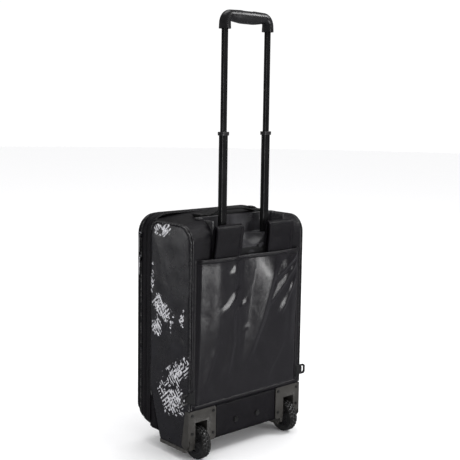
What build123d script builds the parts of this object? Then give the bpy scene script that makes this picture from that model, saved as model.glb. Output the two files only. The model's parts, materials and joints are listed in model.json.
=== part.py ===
from build123d import *
import math
import os

# Wheeled cabin case, millimetres. +Z up, the lid faces -Y, the trolley and wheels are at +Y.
# "right" is +X. The origin is on the floor, under the middle of the case.

# ---- case shell ----
half_width = 175.0  # outer faces of the side panels
back_y = 86.0  # outer face of the back panel
front_y = -112.0  # front of the lid pocket
split_y = -55.0  # where the rear section meets the front gusset
zip_y = -92.75  # middle of the main zip
top_z = 545.0
side_top_z = 533.0  # top edge of the side panels
bottom_z = 43.0
cloth = 3.0  # padded panel thickness
gap = 0.3  # between pieces on different bodies
top_corner = 42.0  # front outline, upper corners
low_corner = 26.0  # front outline, lower corners
toe_radius = 44.0  # lower front edge, seen from the side
brow_radius = 14.0  # upper front edge, seen from the side
heel_radius = 38.0  # upper back edge, seen from the side
inside_x = half_width - cloth
zip_case_y = zip_y + gap / 2  # the case's tape starts here
gusset_front_y = -90.0
lid_back_y = -95.5

# ---- trolley ----
tube_x = 66.0
tube_y = back_y - 20.0
floor_z = 503.0  # floor of the handle recess
recess_half = 112.0
recess_front_y = 41.0
recess_top_z = 542.0
outer_size = (27.0, 16.0)
middle_size = (22.4, 11.4)
upper_size = (16.6, 8.2)
tube_wall = 1.0
collar_top_z = 739.0
collar_height = 8.0
socket_z = 968.0  # lower ends of the grip
grip_z = 998.0  # centre line of the grip bar
grip_radius = 12.5
scoop_z = 528.0  # centre of the round finger scoop
scoop_radius = 54.0

# ---- wheels, housings and feet ----
wheel_x = 139.0
wheel_y = back_y - 12.0
wheel_radius = 38.0
wheel_width = 23.0
axle_radius = 3.0
well = (122.0, 157.0)  # inner walls of the wheel well
housing_inner_x = 96.0
housing_top_z = 118.0
skid_z = 20.0
skid_front_y = -18.0
foot_x = 110.0

# ---- soft fittings on the back ----
pocket_half = 160.0
pocket_low_z = 124.0
hem_z = 458.0
strap_x = 83.0
strap_width = 78.0
ring_z = 149.0

nodes = {}


def block(x0, x1, y0, y1, z0, z1):
    """A box between two corners."""
    return Pos((x0 + x1) / 2, (y0 + y1) / 2, (z0 + z1) / 2) * Box(x1 - x0, y1 - y0, z1 - z0)


def rounded(points):
    """A face from (u, v, corner radius) points."""
    face = Polygon(*[(u, v) for u, v, _ in points], align=None)
    for u, v, radius in points:
        if radius:
            corner = face.vertices().sort_by_distance((u, v, 0))[0]
            face = fillet(corner, radius)
    return face


def across(face, x0, x1):
    """A (y, z) face extruded along X."""
    return extrude(Plane.YZ.offset(x0) * face, amount=x1 - x0, dir=(1, 0, 0))


def along(face, y0, y1):
    """An (x, z) face extruded along Y."""
    return extrude(Plane.XZ.offset(-y1) * face, amount=y1 - y0, dir=(0, -1, 0))


def rod(radius, start, length, axis):
    """A cylinder that starts at a point and runs along a direction."""
    return extrude(Plane(origin=start, z_dir=axis) * Circle(radius), amount=length)


def both_sides(shape):
    """The shape and its mirror image, as right and left."""
    return shape, mirror(shape, about=Plane.YZ)


def add_pair(name, shape):
    right, left = both_sides(shape)
    nodes[name + "_right"] = right
    nodes[name + "_left"] = left


# ---- front section: one rounded envelope cut into gusset, zip tapes and lid ----

def facets(y, z, radius, lift, count):
    """Points on a quarter circle in Y and Z, from its lowest or highest point to the front."""
    turns = [math.pi / 2 * i / count for i in range(count + 1)]
    return [(y - radius * math.sin(turn), z + lift * radius * math.cos(turn)) for turn in turns]


def front_envelope(inset):
    """The front section's outer form, moved inwards by inset and open towards the back."""
    x = half_width - inset
    low, high = bottom_z + inset, top_z - inset
    outline = rounded([
        (-x, low, low_corner - inset),
        (x, low, low_corner - inset),
        (x, high, top_corner - inset),
        (-x, high, top_corner - inset),
    ])
    toe = facets(front_y + toe_radius, bottom_z + toe_radius, toe_radius - inset, -1, 6)
    brow = facets(front_y + brow_radius, top_z - brow_radius, brow_radius - inset, 1, 3)
    side = Polygon((20, low), *toe, *reversed(brow), (20, high), align=None)
    return along(outline, front_y, 0) & across(side, -half_width, half_width)


def front_skin(y0, y1, inset=0.0, thickness=cloth):
    """A band of the front skin between two Y planes."""
    skin = front_envelope(inset) - front_envelope(inset + thickness)
    return skin & block(-200, 200, y0, y1, 0, 600)


def corner_panel():
    """The right side's cloth between the gusset and the side panel's slanted edge."""
    low = bottom_z + cloth
    wedge = rounded([(split_y, low, 0), (-18, low, 0), (split_y, 160, 0)])
    return across(wedge - side_face(), inside_x, half_width)


def lid_pieces():
    wall_y = -103.0  # outer face of the lid panel, behind the pocket
    solid = front_envelope(0) & block(-200, 200, wall_y, lid_back_y, 0, 600)
    hollow = front_envelope(cloth) & block(-200, 200, wall_y + cloth, lid_back_y, 0, 600)
    nodes["lid_panel"] = solid - hollow
    pocket = front_envelope(5) & block(-200, 200, front_y, wall_y, 0, 426)
    pouch = front_envelope(7) & block(-200, 200, front_y + 7, wall_y, 0, 424)
    nodes["front_pocket"] = pocket - pouch
    nodes["front_zip_tape"] = block(-152, 168, wall_y - 1.5, wall_y, 427, 443)


def frame_wire():
    """Square spring wire that holds the gusset's front edge open."""
    outer, wire = 6.0, 3.0
    x, low, high = half_width - outer, 57.0, top_z - outer

    def outline(inset):
        return rounded([
            (-x + inset, low + inset, 20 - inset),
            (x - inset, low + inset, 20 - inset),
            (x - inset, high - inset, 36 - inset),
            (-x + inset, high - inset, 36 - inset),
        ])

    return along(outline(0) - outline(wire), -87, -84)


# ---- rear section ----

def side_face(grow=0.0):
    """The side panel's outline in Y and Z."""
    low = 28.0
    return rounded([
        (split_y, side_top_z + grow, 26 + grow),
        (back_y + grow, side_top_z + grow, heel_radius + grow),
        (back_y + grow, low, 24),
        (skid_front_y, low, 6),
        (split_y, 140, 60),
    ])


def side_pieces():
    add_pair("side_panel", across(side_face(), inside_x, half_width))
    cord = across(side_face(3.0) - side_face(), inside_x + 1, half_width + 2)
    add_pair("piping", cord & block(0, 200, split_y, 200, housing_top_z + 0.2, 600))


def top_panel():
    """Crowned across the width, and rounded down to the back."""
    crown = top_z - side_top_z

    def arch(z_drop):
        ends = [(-inside_x, side_top_z - z_drop), (inside_x, side_top_z - z_drop)]
        return ThreePointArc(ends[0], (0, side_top_z + crown - z_drop), ends[1])

    lines = [
        arch(0),
        Line((inside_x, side_top_z), (inside_x, side_top_z - cloth)),
        arch(cloth),
        Line((-inside_x, side_top_z - cloth), (-inside_x, side_top_z)),
    ]
    heel_y, heel_z = back_y - heel_radius, side_top_z - heel_radius
    roof = along(make_face(Curve() + lines), split_y, heel_y + 4)
    ring = Circle(heel_radius) - Circle(heel_radius - cloth)
    heel = across(Pos(heel_y, heel_z) * ring, -inside_x, inside_x)
    heel = heel & block(-inside_x, inside_x, heel_y, back_y, heel_z, side_top_z)
    recess = block(
        -recess_half, recess_half, recess_front_y, back_y + 5, heel_z - 20, top_z + 5
    )
    return roof + heel - recess


def scoop_hole(grow):
    """A cylinder along Y through the back, round the finger scoop."""
    return rod(scoop_radius + grow, (0, back_y - 20, scoop_z), 40, (0, 1, 0))


def back_pieces():
    high = side_top_z - heel_radius
    panel = block(-inside_x, inside_x, back_y - cloth, back_y, housing_top_z + 0.2, high)
    nodes["back_panel"] = panel - scoop_hole(4)
    board = block(-165, 165, back_y - cloth - 2.5, back_y - cloth, 96, high)
    nodes["back_board"] = board - scoop_hole(4)
    nodes["kick_panel"] = block(
        -housing_inner_x + 0.2, housing_inner_x - 0.2, back_y - cloth, back_y + 0.5, 40, 118
    )
    floor = block(-inside_x, inside_x, split_y, skid_front_y, bottom_z, bottom_z + cloth)
    floor += block(-114.8, 114.8, skid_front_y, back_y - cloth, bottom_z, bottom_z + cloth)
    nodes["bottom_panel"] = floor
    nodes["inner_lining"] = block(-168, 168, 47, 49.5, 96, 497)
    straps = [block(-150, 150, 45, 46.5, z, z + 25) for z in (200, 350)]
    nodes["packing_straps"] = Compound(children=straps)


# ---- wheel corners ----

def housing():
    """The right wheel housing: well, skid, back plate and side wrap in one moulding."""
    well_in, well_out = well
    front_y0 = 32.0
    shell = block(115, inside_x, skid_front_y, back_y, 28, 93)
    shell += block(115, half_width, skid_front_y, back_y - 10, skid_z, 28)
    plate = rounded([
        (housing_inner_x, 40, 8),
        (half_width, 40, 18),
        (half_width, housing_top_z, 4),
        (housing_inner_x, housing_top_z, 6),
    ])
    shell += along(plate, back_y, back_y + 2)
    wrap = rounded([
        (back_y + 2, housing_top_z, 0),
        (back_y - 10, housing_top_z, 4),
        (back_y - 23, 35, 8),
        (back_y - 8, 28, 8),
        (back_y + 2, 40, 6),
    ])
    shell += across(wrap, half_width, half_width + 2)
    shell -= block(well_in, well_out, front_y0, back_y + 3, 0, 90)
    shell -= block(114, inside_x - 3, skid_front_y + 3, front_y0 - 3, 31, 90)
    shell -= block(well_out + 3, inside_x - 3, front_y0, back_y - 3, 0, 90)
    shell -= rod(axle_radius, (118, wheel_y, wheel_radius), 50, (1, 0, 0))
    return shell


def housing_screw(x, z):
    head = rod(3.4, (x, back_y + 2, z), 1.3, (0, 1, 0))
    return head + rod(1.7, (x, back_y - 8, z), 10, (0, 1, 0))


def wheel_pieces():
    moulding = housing()
    screws = [housing_screw(x, z) for x, z in ((104, 108), (166, 108), (104, 56), (166, 66))]
    for screw in screws:
        moulding -= screw
    add_pair("wheel_housing", moulding)
    screws += [mirror(screw, about=Plane.YZ) for screw in screws]
    for screw in screws:
        nodes["back_board"] -= screw
    nodes["housing_screws"] = Compound(children=screws)
    axle_start = (well[0] - 3, wheel_y, wheel_radius)
    axle_length = well[1] - well[0] + 6
    add_pair("axle", rod(axle_radius, axle_start, axle_length, (1, 0, 0)))
    half = wheel_width / 2
    hub_radius = 25.0
    place = Plane(origin=(wheel_x, wheel_y, wheel_radius), z_dir=(1, 0, 0))
    section = Plane.XY * rounded([
        (hub_radius, -half + 1, 0),
        (wheel_radius, -half, 5),
        (wheel_radius, half, 5),
        (hub_radius, half - 1, 0),
    ])
    add_pair("tyre", place * revolve(Plane.XZ * section, axis=Axis.Z))
    hub = Cylinder(hub_radius, wheel_width - 4) + Cylinder(8, well[1] - well[0] - 1.0)
    hub -= Cylinder(axle_radius + 0.05, 60)
    add_pair("hub", place * hub)


def foot():
    """A tapered moulded foot under the front edge."""
    y = -68.0
    top = Plane.XY.offset(bottom_z) * Pos(foot_x, y) * RectangleRounded(44, 30, 6)
    low = Plane.XY * Pos(foot_x, y) * RectangleRounded(36, 22, 5)
    return loft([low, top])


# ---- trolley ----

def tube_face(size):
    """A tube's outline: flat sides, nearly round edges."""
    width, depth = size
    return RectangleRounded(width, depth, depth / 2 - 0.6)


def tube(size, z0, z1, wall=tube_wall):
    width, depth = size
    ring = tube_face(size) - tube_face((width - 2 * wall, depth - 2 * wall))
    return Pos(tube_x, tube_y, z0) * extrude(ring, amount=z1 - z0)


def sleeve(outer, inner, z0, z1):
    """A solid band of one tube outline round another."""
    return Pos(tube_x, tube_y, z0) * extrude(tube_face(outer) - tube_face(inner), amount=z1 - z0)


def trolley_pieces():
    bore = 0.35  # play between a tube and what guides it
    add_pair("outer_tube", tube(outer_size, 78, floor_z - 3))
    middle_low = 453.0
    middle_high = collar_top_z - 1
    add_pair("middle_tube", tube(middle_size, middle_low, middle_high))
    upper_low = 686.0
    add_pair("upper_tube", tube(upper_size, upper_low, 990))

    shoe_out = (outer_size[0] - 2 * tube_wall - 2 * bore, outer_size[1] - 2 * tube_wall - 2 * bore)
    shoes = both_sides(sleeve(shoe_out, middle_size, middle_low, middle_low + 24))
    nodes["middle_guides"] = Compound(children=list(shoes))
    shoe_in = (middle_size[0] - 2 * tube_wall - 2 * bore, middle_size[1] - 2 * tube_wall - 2 * bore)
    shoes = both_sides(sleeve(shoe_in, upper_size, upper_low, upper_low + 22))
    nodes["upper_guides"] = Compound(children=list(shoes))

    play = (upper_size[0] + 2 * bore, upper_size[1] + 2 * bore)
    collar = sleeve((28, 17), play, collar_top_z - collar_height, collar_top_z)
    collar -= tube(middle_size, middle_low, middle_high, wall=2.0)
    throat = (middle_size[0] - 2 * tube_wall, middle_size[1] - 2 * tube_wall)
    collar += sleeve(throat, play, collar_top_z - 20, collar_top_z - 1)
    nodes["stage_collars"] = Compound(children=list(both_sides(collar)))


def bottom_bracket():
    """Ties the lower ends of the fixed tubes together behind the kick panel."""
    bar = block(-90, 90, tube_y - 11, back_y - cloth - 3, 56, 90)
    for x in (-tube_x, tube_x):
        bar -= Pos(x, tube_y, 78) * extrude(tube_face(outer_size), amount=20)
    return bar


def bracket_bolt(x):
    z = 71.5
    head = Pos(x, back_y + 0.5, z) * Rot(-90, 0, 0) * (Sphere(7) & Pos(0, 0, 5) * Box(20, 20, 10))
    head = head & block(x - 8, x + 8, back_y + 0.5, back_y + 4, z - 8, z + 8)
    return head + rod(2.5, (x, tube_y - 8, z), back_y + 0.5 - tube_y + 8, (0, 1, 0))


def handle_housing():
    """The moulded recess that the grip drops into, with a round finger scoop at the back."""
    wall = 3.0
    low = floor_z - wall
    box = block(-recess_half, recess_half, recess_front_y, back_y, low, recess_top_z)
    box -= block(
        -recess_half + wall, recess_half - wall, recess_front_y + wall, back_y + 5, floor_z, 600
    )
    rim = block(
        -recess_half - 8, recess_half + 8, recess_front_y - 8, back_y - 38, recess_top_z, top_z + 1
    )
    box += rim - block(
        -recess_half + wall, recess_half - wall, recess_front_y + wall, back_y, 500, 600
    )
    ball_y = back_y + 14
    bowl = Pos(0, ball_y, scoop_z) * Sphere(scoop_radius + 3)
    box += bowl & block(-60, 60, 20, back_y, 400, floor_z)
    flange = along(Pos(0, scoop_z) * Circle(scoop_radius + 14), back_y, back_y + 2)
    box += flange & block(-80, 80, back_y, back_y + 2, 400, floor_z)
    box -= Pos(0, ball_y, scoop_z) * Sphere(scoop_radius)
    hole = tube_face((middle_size[0] + 0.7, middle_size[1] + 0.7))
    for x in (-tube_x, tube_x):
        box -= Pos(x, tube_y, low - 1) * extrude(hole, amount=10)
    return box


def grip_pieces():
    corner = 15.0
    path = FilletPolyline(
        (tube_x, tube_y, socket_z),
        (tube_x, tube_y, grip_z),
        (-tube_x, tube_y, grip_z),
        (-tube_x, tube_y, socket_z),
        radius=corner,
    )
    start = Plane(origin=(tube_x, tube_y, socket_z), z_dir=(0, 0, 1))
    bar = sweep(start * Circle(grip_radius), path=path)
    chamber = rod(8.5, (-tube_x, tube_y, grip_z), 2 * tube_x, (1, 0, 0))
    bar -= chamber
    bar -= block(-tube_x - 3, tube_x + 3, tube_y - 3, tube_y + 3, grip_z - 6, grip_z + 3.5)
    for x in (-tube_x, tube_x):
        bar -= Pos(x, tube_y, socket_z - 1) * extrude(tube_face(upper_size), amount=26)
    slot = (40.0, 12.0)
    opening = extrude(SlotOverall(*slot), amount=20)
    bar -= Pos(0, tube_y, grip_z) * opening
    nodes["grip_upper"] = bar & block(-100, 100, 0, 100, grip_z, 1100)
    nodes["grip_lower"] = bar & block(-100, 100, 0, 100, 900, grip_z)
    nodes["stage_button"] = Pos(0, tube_y, grip_z + 4) * extrude(
        SlotOverall(slot[0] - 1, slot[1] - 1), amount=8
    )
    yoke_z = grip_z
    yoke = block(-68, 68, tube_y - 2.5, tube_y + 2.5, yoke_z - 1, yoke_z + 2)
    yoke += block(-12, 12, tube_y - 2.5, tube_y + 2.5, yoke_z, grip_z + 4)
    for x in (-tube_x, tube_x):
        yoke += rod(1.6, (x, tube_y, 700), yoke_z - 700, (0, 0, 1))
    nodes["push_rod_yoke"] = yoke


# ---- soft fittings ----

def shoulder_strap():
    """A backpack strap, folded over at the top and tucked down into the pocket."""
    inner = rounded([
        (back_y + 2.3, 470, 0),
        (back_y + 2.3, 534, 8),
        (back_y + 19, 534, 8),
        (back_y + 15.5, 456, 30),
        (back_y + 6.5, 230, 0),
        (back_y + 2.3, 230, 0),
        (back_y + 2.3, 240, 0),
        (back_y + 10.5, 456, 30),
        (back_y + 13.5, 526, 3),
        (back_y + 6.5, 526, 3),
        (back_y + 6.5, 470, 0),
    ])
    half = strap_width / 2
    return across(inner, strap_x - half, strap_x + half)


def pocket_pieces():
    low_y, high_y = back_y + 5.0, back_y + 18.0
    sheet_t = 1.6

    def wedge(inset):
        return rounded([
            (back_y, pocket_low_z + inset, 0),
            (low_y - inset, pocket_low_z + inset, 0),
            (high_y - inset, hem_z - 8, 0),
            (back_y, hem_z - 8, 0),
        ])

    pouch = across(wedge(0), -pocket_half, pocket_half)
    pouch -= across(wedge(sheet_t), -pocket_half + sheet_t, pocket_half - sheet_t)
    mouth = block(
        -pocket_half + sheet_t, pocket_half - sheet_t, back_y, high_y - sheet_t, 440, 500
    )
    nodes["back_pocket"] = pouch - mouth
    hem = block(-pocket_half, pocket_half, high_y - 2.2, high_y + 0.6, hem_z - 8, hem_z + 1)
    nodes["pocket_hem"] = hem


def carry_handle():
    """A low padded strap across the top."""
    y, width, thick = 14.0, 30.0, 4.0
    foot_z, reach = 543.5, 98.0
    path = [(reach, foot_z), (70, foot_z), (40, foot_z + 12)]
    upper = [(x, z + thick, 0) for x, z in path]
    lower = [(x, z, 0) for x, z in path]
    ring = upper + [(-x, z, 0) for x, z, _ in reversed(upper)]
    ring += [(-x, z, 0) for x, z, _ in lower] + list(reversed(lower))
    strap = along(rounded(ring), y - width / 2, y + width / 2)
    cap = block(84, 100, y - 17, y + 17, foot_z + thick, foot_z + thick + 2.5)
    nodes["carry_handle"] = strap
    nodes["handle_anchors"] = Compound(children=list(both_sides(cap)))


def ring_pieces():
    bar_x, bar_y, wire, bar_radius = 181.5, back_y - 0.5, 2.0, 1.9
    x0, x1 = bar_x - wire, bar_x + 15.5
    half_height = 12.0
    outer = rounded([
        (x0, ring_z - half_height, 3),
        (x1, ring_z - half_height, 7),
        (x1, ring_z + half_height, 7),
        (x0, ring_z + half_height, 3),
    ])
    inner = rounded([
        (x0 + 4, ring_z - half_height + 4, 1),
        (x1 - 4, ring_z - half_height + 4, 4),
        (x1 - 4, ring_z + half_height - 4, 4),
        (x0 + 4, ring_z + half_height - 4, 1),
    ])
    ring = along(outer - inner, bar_y - wire, bar_y + wire)
    ring -= block(x0 - 1, x0 + 4, bar_y - 3, bar_y + 3, ring_z - 8, ring_z + 8)
    ring += rod(bar_radius, (bar_x, bar_y, ring_z - 9), 18, (0, 0, 1))
    add_pair("ring", ring)
    tab = block(half_width + 2, bar_x + 3.2, bar_y - 3.2, bar_y + 3.2, ring_z - 6.8, ring_z + 6.8)
    tab -= rod(bar_radius + 0.08, (bar_x, bar_y, ring_z - 20), 40, (0, 0, 1))
    nodes["ring_tabs"] = Compound(children=list(both_sides(tab)))


# ---- zip sliders and pulls, drawn on a +X face and turned where needed ----

def slider(half_y=3.8, half_z=6.0):
    """Slider at the origin: the tape is at X 0 and the pull hangs down from the pin."""
    body = block(0.3, 3.6, -half_y, half_y, -half_z, half_z)
    ears = block(3.6, 7.4, -3.6, -2.6, -3, 3) + block(3.6, 7.4, 2.6, 3.6, -3, 3)
    return body + ears + rod(0.8, (6.0, -3.6, 0), 7.2, (0, 1, 0))


def pull():
    plate = block(4.9, 7.1, -2.3, 2.3, -22, 1.6)
    tip = block(4.6, 7.4, -3.2, 3.2, -40, -22)
    return plate + tip - rod(0.88, (6.0, -10, 0), 20, (0, 1, 0))


def zip_pieces():
    for name, z in (("upper", top_z - top_corner - 6), ("lower", 443.0)):
        place = Pos(half_width, zip_y, z)
        nodes["main_slider_" + name] = place * slider()
        nodes["main_pull_" + name] = place * pull()
    front = Pos(158, -104.5, 435) * Rot(0, 0, -90)
    nodes["front_slider"] = front * slider(half_y=6.0, half_z=3.8)
    nodes["front_pull"] = front * pull()


# ---- assembly ----

nodes["gusset"] = front_skin(gusset_front_y, split_y)
nodes["zip_tape_case"] = front_skin(zip_case_y, gusset_front_y)
nodes["zip_tape_lid"] = front_skin(lid_back_y, zip_y - gap / 2)
lid_pieces()
nodes["frame_wire"] = frame_wire()
side_pieces()
add_pair("corner_panel", corner_panel())
nodes["top_panel"] = top_panel()
back_pieces()
wheel_pieces()
add_pair("front_foot", foot())
trolley_pieces()
bolts = [bracket_bolt(x) for x in (-34, 34)]
nodes["bottom_bracket"] = bottom_bracket() - bolts[0] - bolts[1]
nodes["kick_panel"] = nodes["kick_panel"] - bolts[0] - bolts[1]
nodes["bracket_bolts"] = Compound(children=bolts)
nodes["handle_housing"] = handle_housing() - nodes["top_panel"]
grip_pieces()
add_pair("shoulder_strap", shoulder_strap())
pocket_pieces()
carry_handle()
ring_pieces()
zip_pieces()

os.makedirs("parts", exist_ok=True)
for name, shape in nodes.items():
    export_step(shape, f"parts/{name}.step")
print(len(nodes), "nodes")
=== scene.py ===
import bmesh
import bpy
import json
import math
from mathutils import Matrix, Vector, noise


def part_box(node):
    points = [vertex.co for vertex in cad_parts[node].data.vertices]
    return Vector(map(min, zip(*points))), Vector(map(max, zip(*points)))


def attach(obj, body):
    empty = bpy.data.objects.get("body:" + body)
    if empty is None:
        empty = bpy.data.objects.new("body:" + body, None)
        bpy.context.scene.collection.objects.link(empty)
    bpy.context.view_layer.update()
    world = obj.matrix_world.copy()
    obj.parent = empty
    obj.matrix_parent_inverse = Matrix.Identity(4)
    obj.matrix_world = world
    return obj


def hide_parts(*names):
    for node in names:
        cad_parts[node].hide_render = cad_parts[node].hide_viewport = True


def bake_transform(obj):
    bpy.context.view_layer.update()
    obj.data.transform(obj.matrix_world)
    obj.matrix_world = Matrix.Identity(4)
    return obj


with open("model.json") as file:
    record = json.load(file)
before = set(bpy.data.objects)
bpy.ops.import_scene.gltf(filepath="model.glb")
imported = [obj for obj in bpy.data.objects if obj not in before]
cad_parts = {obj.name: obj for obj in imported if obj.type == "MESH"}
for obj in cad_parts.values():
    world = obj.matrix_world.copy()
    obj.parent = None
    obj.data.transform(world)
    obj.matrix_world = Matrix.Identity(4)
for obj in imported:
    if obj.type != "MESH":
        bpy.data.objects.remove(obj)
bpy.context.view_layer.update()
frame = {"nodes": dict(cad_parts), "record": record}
nodes = frame["nodes"]
slotOf = {row["node"]: row["material_slot"] for row in frame["record"]["subparts"]}
bodyOf = {node: body for body, members in frame["record"]["behaviour"]["bodies"].items() for node in members}
print("frame loaded:", len(nodes), "parts")


cameraSet = {
    "place": (1.4001, 1.5773, 0.8034),
    "turn": 41.92,  # degrees from the back of the case towards its right side
    "dip": 6.28,
    "roll": 0.86,
    "lens": 70.06,
    "sensor": 36,
    "shiftY": -0.0616,
}
lightSet = {
    "room": 1.05,  # what the floor and the diffuse surfaces get
    "gloss": 0.15,  # what glossy surfaces see
    "boxes": (
        # name, place, aimed at, width, height, watts
        ("sideBox", (2.3, -2.3, 0.75), (0.15, 0.0, 0.30), 0.6, 1.3, 1.5),
        ("lowSideBox", (2.30, -2.06, 0.40), (0.17, 0.03, 0.42), 0.40, 0.78, 3.6),
        ("backBox", (-1.0, 2.9, 0.56), (0.0, 0.08, 0.30), 0.7, 1.1, 32),
        ("heelBox", (-1.75, 1.25, 2.4), (0.05, 0.08, 0.50), 0.8, 0.8, 40),
        ("overheadBox", (0.0, -0.3, 3.2), (0.0, 0.0, 0.3), 2.0, 1.6, 34),
    ),
}


def placeCamera():
    turn, dip, roll = (math.radians(cameraSet[k]) for k in ("turn", "dip", "roll"))
    ahead = Vector((-math.sin(turn) * math.cos(dip), -math.cos(turn) * math.cos(dip), -math.sin(dip)))
    level = Vector((-math.cos(turn), math.sin(turn), 0))
    lifted = level.cross(ahead)
    right = level * math.cos(roll) + lifted * math.sin(roll)
    up = lifted * math.cos(roll) - level * math.sin(roll)
    data = bpy.data.cameras.new("caseCamera")
    data.lens, data.sensor_width = cameraSet["lens"], cameraSet["sensor"]
    data.shift_y = cameraSet["shiftY"]
    camera = bpy.data.objects.new("caseCamera", data)
    turned = Matrix((right, up, -ahead)).transposed().to_4x4()
    camera.matrix_world = Matrix.Translation(cameraSet["place"]) @ turned
    bpy.context.scene.collection.objects.link(camera)
    bpy.context.scene.camera = camera


def placeLights():
    world = bpy.data.worlds.new("paleRoom")
    world.use_nodes = True
    tree = world.node_tree
    tree.nodes["Background"].inputs[0].default_value = (1, 1, 1, 1)
    rays = tree.nodes.new("ShaderNodeLightPath")
    plain = calc(tree, "MAXIMUM", rays.outputs["Is Camera Ray"], rays.outputs["Is Diffuse Ray"])
    strength = calc(tree, "MULTIPLY_ADD", plain, lightSet["room"] - lightSet["gloss"], lightSet["gloss"])
    tree.links.new(strength, tree.nodes["Background"].inputs[1])
    bpy.context.scene.world = world
    bpy.context.scene.view_settings.view_transform = "Standard"
    for name, place, target, width, height, watts in lightSet["boxes"]:
        data = bpy.data.lights.new(name, "AREA")
        data.shape, data.size, data.size_y, data.energy = "RECTANGLE", width, height, watts
        lamp = bpy.data.objects.new(name, data)
        lamp.location, lamp.visible_camera = place, False
        lamp.rotation_euler = (Vector(place) - Vector(target)).to_track_quat("Z", "Y").to_euler()
        bpy.context.scene.collection.objects.link(lamp)


def newGroup(name, inputs, outputs):
    group = bpy.data.node_groups.new(name, "ShaderNodeTree")
    for label, kind, value in inputs:
        made = group.interface.new_socket(label, in_out="INPUT", socket_type=kind)
        if value is not None:
            made.default_value = value
    for label, kind in outputs:
        group.interface.new_socket(label, in_out="OUTPUT", socket_type=kind)
    return group, group.nodes.new("NodeGroupInput"), group.nodes.new("NodeGroupOutput")


def wire(tree, node, socket, value):
    # a value is a number, a colour or another node's output
    if isinstance(value, bpy.types.NodeSocket):
        tree.links.new(value, node.inputs[socket])
    elif value is not None:
        node.inputs[socket].default_value = value


def calc(tree, how, a, b=None, c=None):
    node = tree.nodes.new("ShaderNodeMath")
    node.operation = how
    for i, value in enumerate((a, b, c)):
        wire(tree, node, i, value)
    return node.outputs[0]


def noiseOf(tree, place, scale, detail=3.0, rough=0.5, distort=0.0):
    node = tree.nodes.new("ShaderNodeTexNoise")
    for socket, value in (
        ("Vector", place), ("Scale", scale), ("Detail", detail), ("Roughness", rough), ("Distortion", distort)
    ):
        wire(tree, node, socket, value)
    return node.outputs["Fac"]


def ranged(tree, value, low, high, toLow=0.0, toHigh=1.0):
    node = tree.nodes.new("ShaderNodeMapRange")
    for i, v in enumerate((value, low, high, toLow, toHigh)):
        wire(tree, node, i, v)
    return node.outputs[0]


def turned(tree, place, angle, scale):
    node = tree.nodes.new("ShaderNodeMapping")
    wire(tree, node, "Vector", place)
    node.inputs["Rotation"].default_value = (0, 0, math.radians(angle))
    node.inputs["Scale"].default_value = scale
    return node.outputs[0]


def axes(tree, place):
    node = tree.nodes.new("ShaderNodeSeparateXYZ")
    tree.links.new(place, node.inputs[0])
    return node.outputs


def makeWeave():
    # plain weave: thread crowns over and under, with slubs
    group, given, out = newGroup(
        "weave",
        [
            ("Cloth", "NodeSocketVector", None),
            ("Thread", "NodeSocketFloat", 0.0006),
            ("Slub", "NodeSocketFloat", 0.3),
        ],
        [("Height", "NodeSocketFloat"), ("Shade", "NodeSocketFloat")],
    )
    x, y, _ = axes(group, given.outputs["Cloth"])
    rate = calc(group, "DIVIDE", math.pi, given.outputs["Thread"])
    across = calc(group, "SINE", calc(group, "MULTIPLY", x, rate))
    along = calc(group, "SINE", calc(group, "MULTIPLY", y, rate))
    crown = calc(group, "MULTIPLY_ADD", calc(group, "MULTIPLY", across, along), 0.5, 0.5)
    slub = noiseOf(group, turned(group, given.outputs["Cloth"], 0, (60, 900, 1)), 1.0, 2.0)
    patch = noiseOf(group, given.outputs["Cloth"], 22.0, 4.0)
    height = calc(group, "MULTIPLY_ADD", slub, given.outputs["Slub"], crown)
    group.links.new(height, out.inputs["Height"])
    shade = calc(group, "MULTIPLY_ADD", slub, 0.4, calc(group, "MULTIPLY", patch, 0.6))
    group.links.new(shade, out.inputs["Shade"])
    return group


def makeGrain():
    # the fine spark-eroded grain of moulded plastic, and slow patches
    group, given, out = newGroup(
        "grain",
        [("Place", "NodeSocketVector", None), ("Size", "NodeSocketFloat", 900.0)],
        [("Height", "NodeSocketFloat"), ("Patch", "NodeSocketFloat")],
    )
    fine = noiseOf(group, given.outputs["Place"], given.outputs["Size"], 3.0, 0.6)
    patch = noiseOf(group, given.outputs["Place"], 35.0, 4.0, 0.55)
    group.links.new(fine, out.inputs["Height"])
    group.links.new(patch, out.inputs["Patch"])
    return group


def makeWear():
    # rubbed edges, broken up by noise
    group, given, out = newGroup(
        "wear",
        [("Place", "NodeSocketVector", None), ("Reach", "NodeSocketFloat", 0.56)],
        [("Mask", "NodeSocketFloat")],
    )
    shape = group.nodes.new("ShaderNodeNewGeometry")
    edge = ranged(group, shape.outputs["Pointiness"], 0.53, given.outputs["Reach"])
    broken = ranged(group, noiseOf(group, given.outputs["Place"], 180.0, 4.0, 0.7), 0.42, 0.62)
    group.links.new(calc(group, "MULTIPLY", edge, broken), out.inputs["Mask"])
    return group


def makeDust():
    # dust on what faces up
    group, given, out = newGroup(
        "dust",
        [("Place", "NodeSocketVector", None), ("Amount", "NodeSocketFloat", 0.3)],
        [("Mask", "NodeSocketFloat")],
    )
    shape = group.nodes.new("ShaderNodeNewGeometry")
    up = ranged(group, axes(group, shape.outputs["Normal"])[2], 0.35, 1.0)
    specks = ranged(group, noiseOf(group, given.outputs["Place"], 60.0, 6.0, 0.7), 0.4, 0.8)
    mask = calc(group, "MULTIPLY", calc(group, "MULTIPLY", up, specks), given.outputs["Amount"])
    group.links.new(mask, out.inputs["Mask"])
    return group


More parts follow.
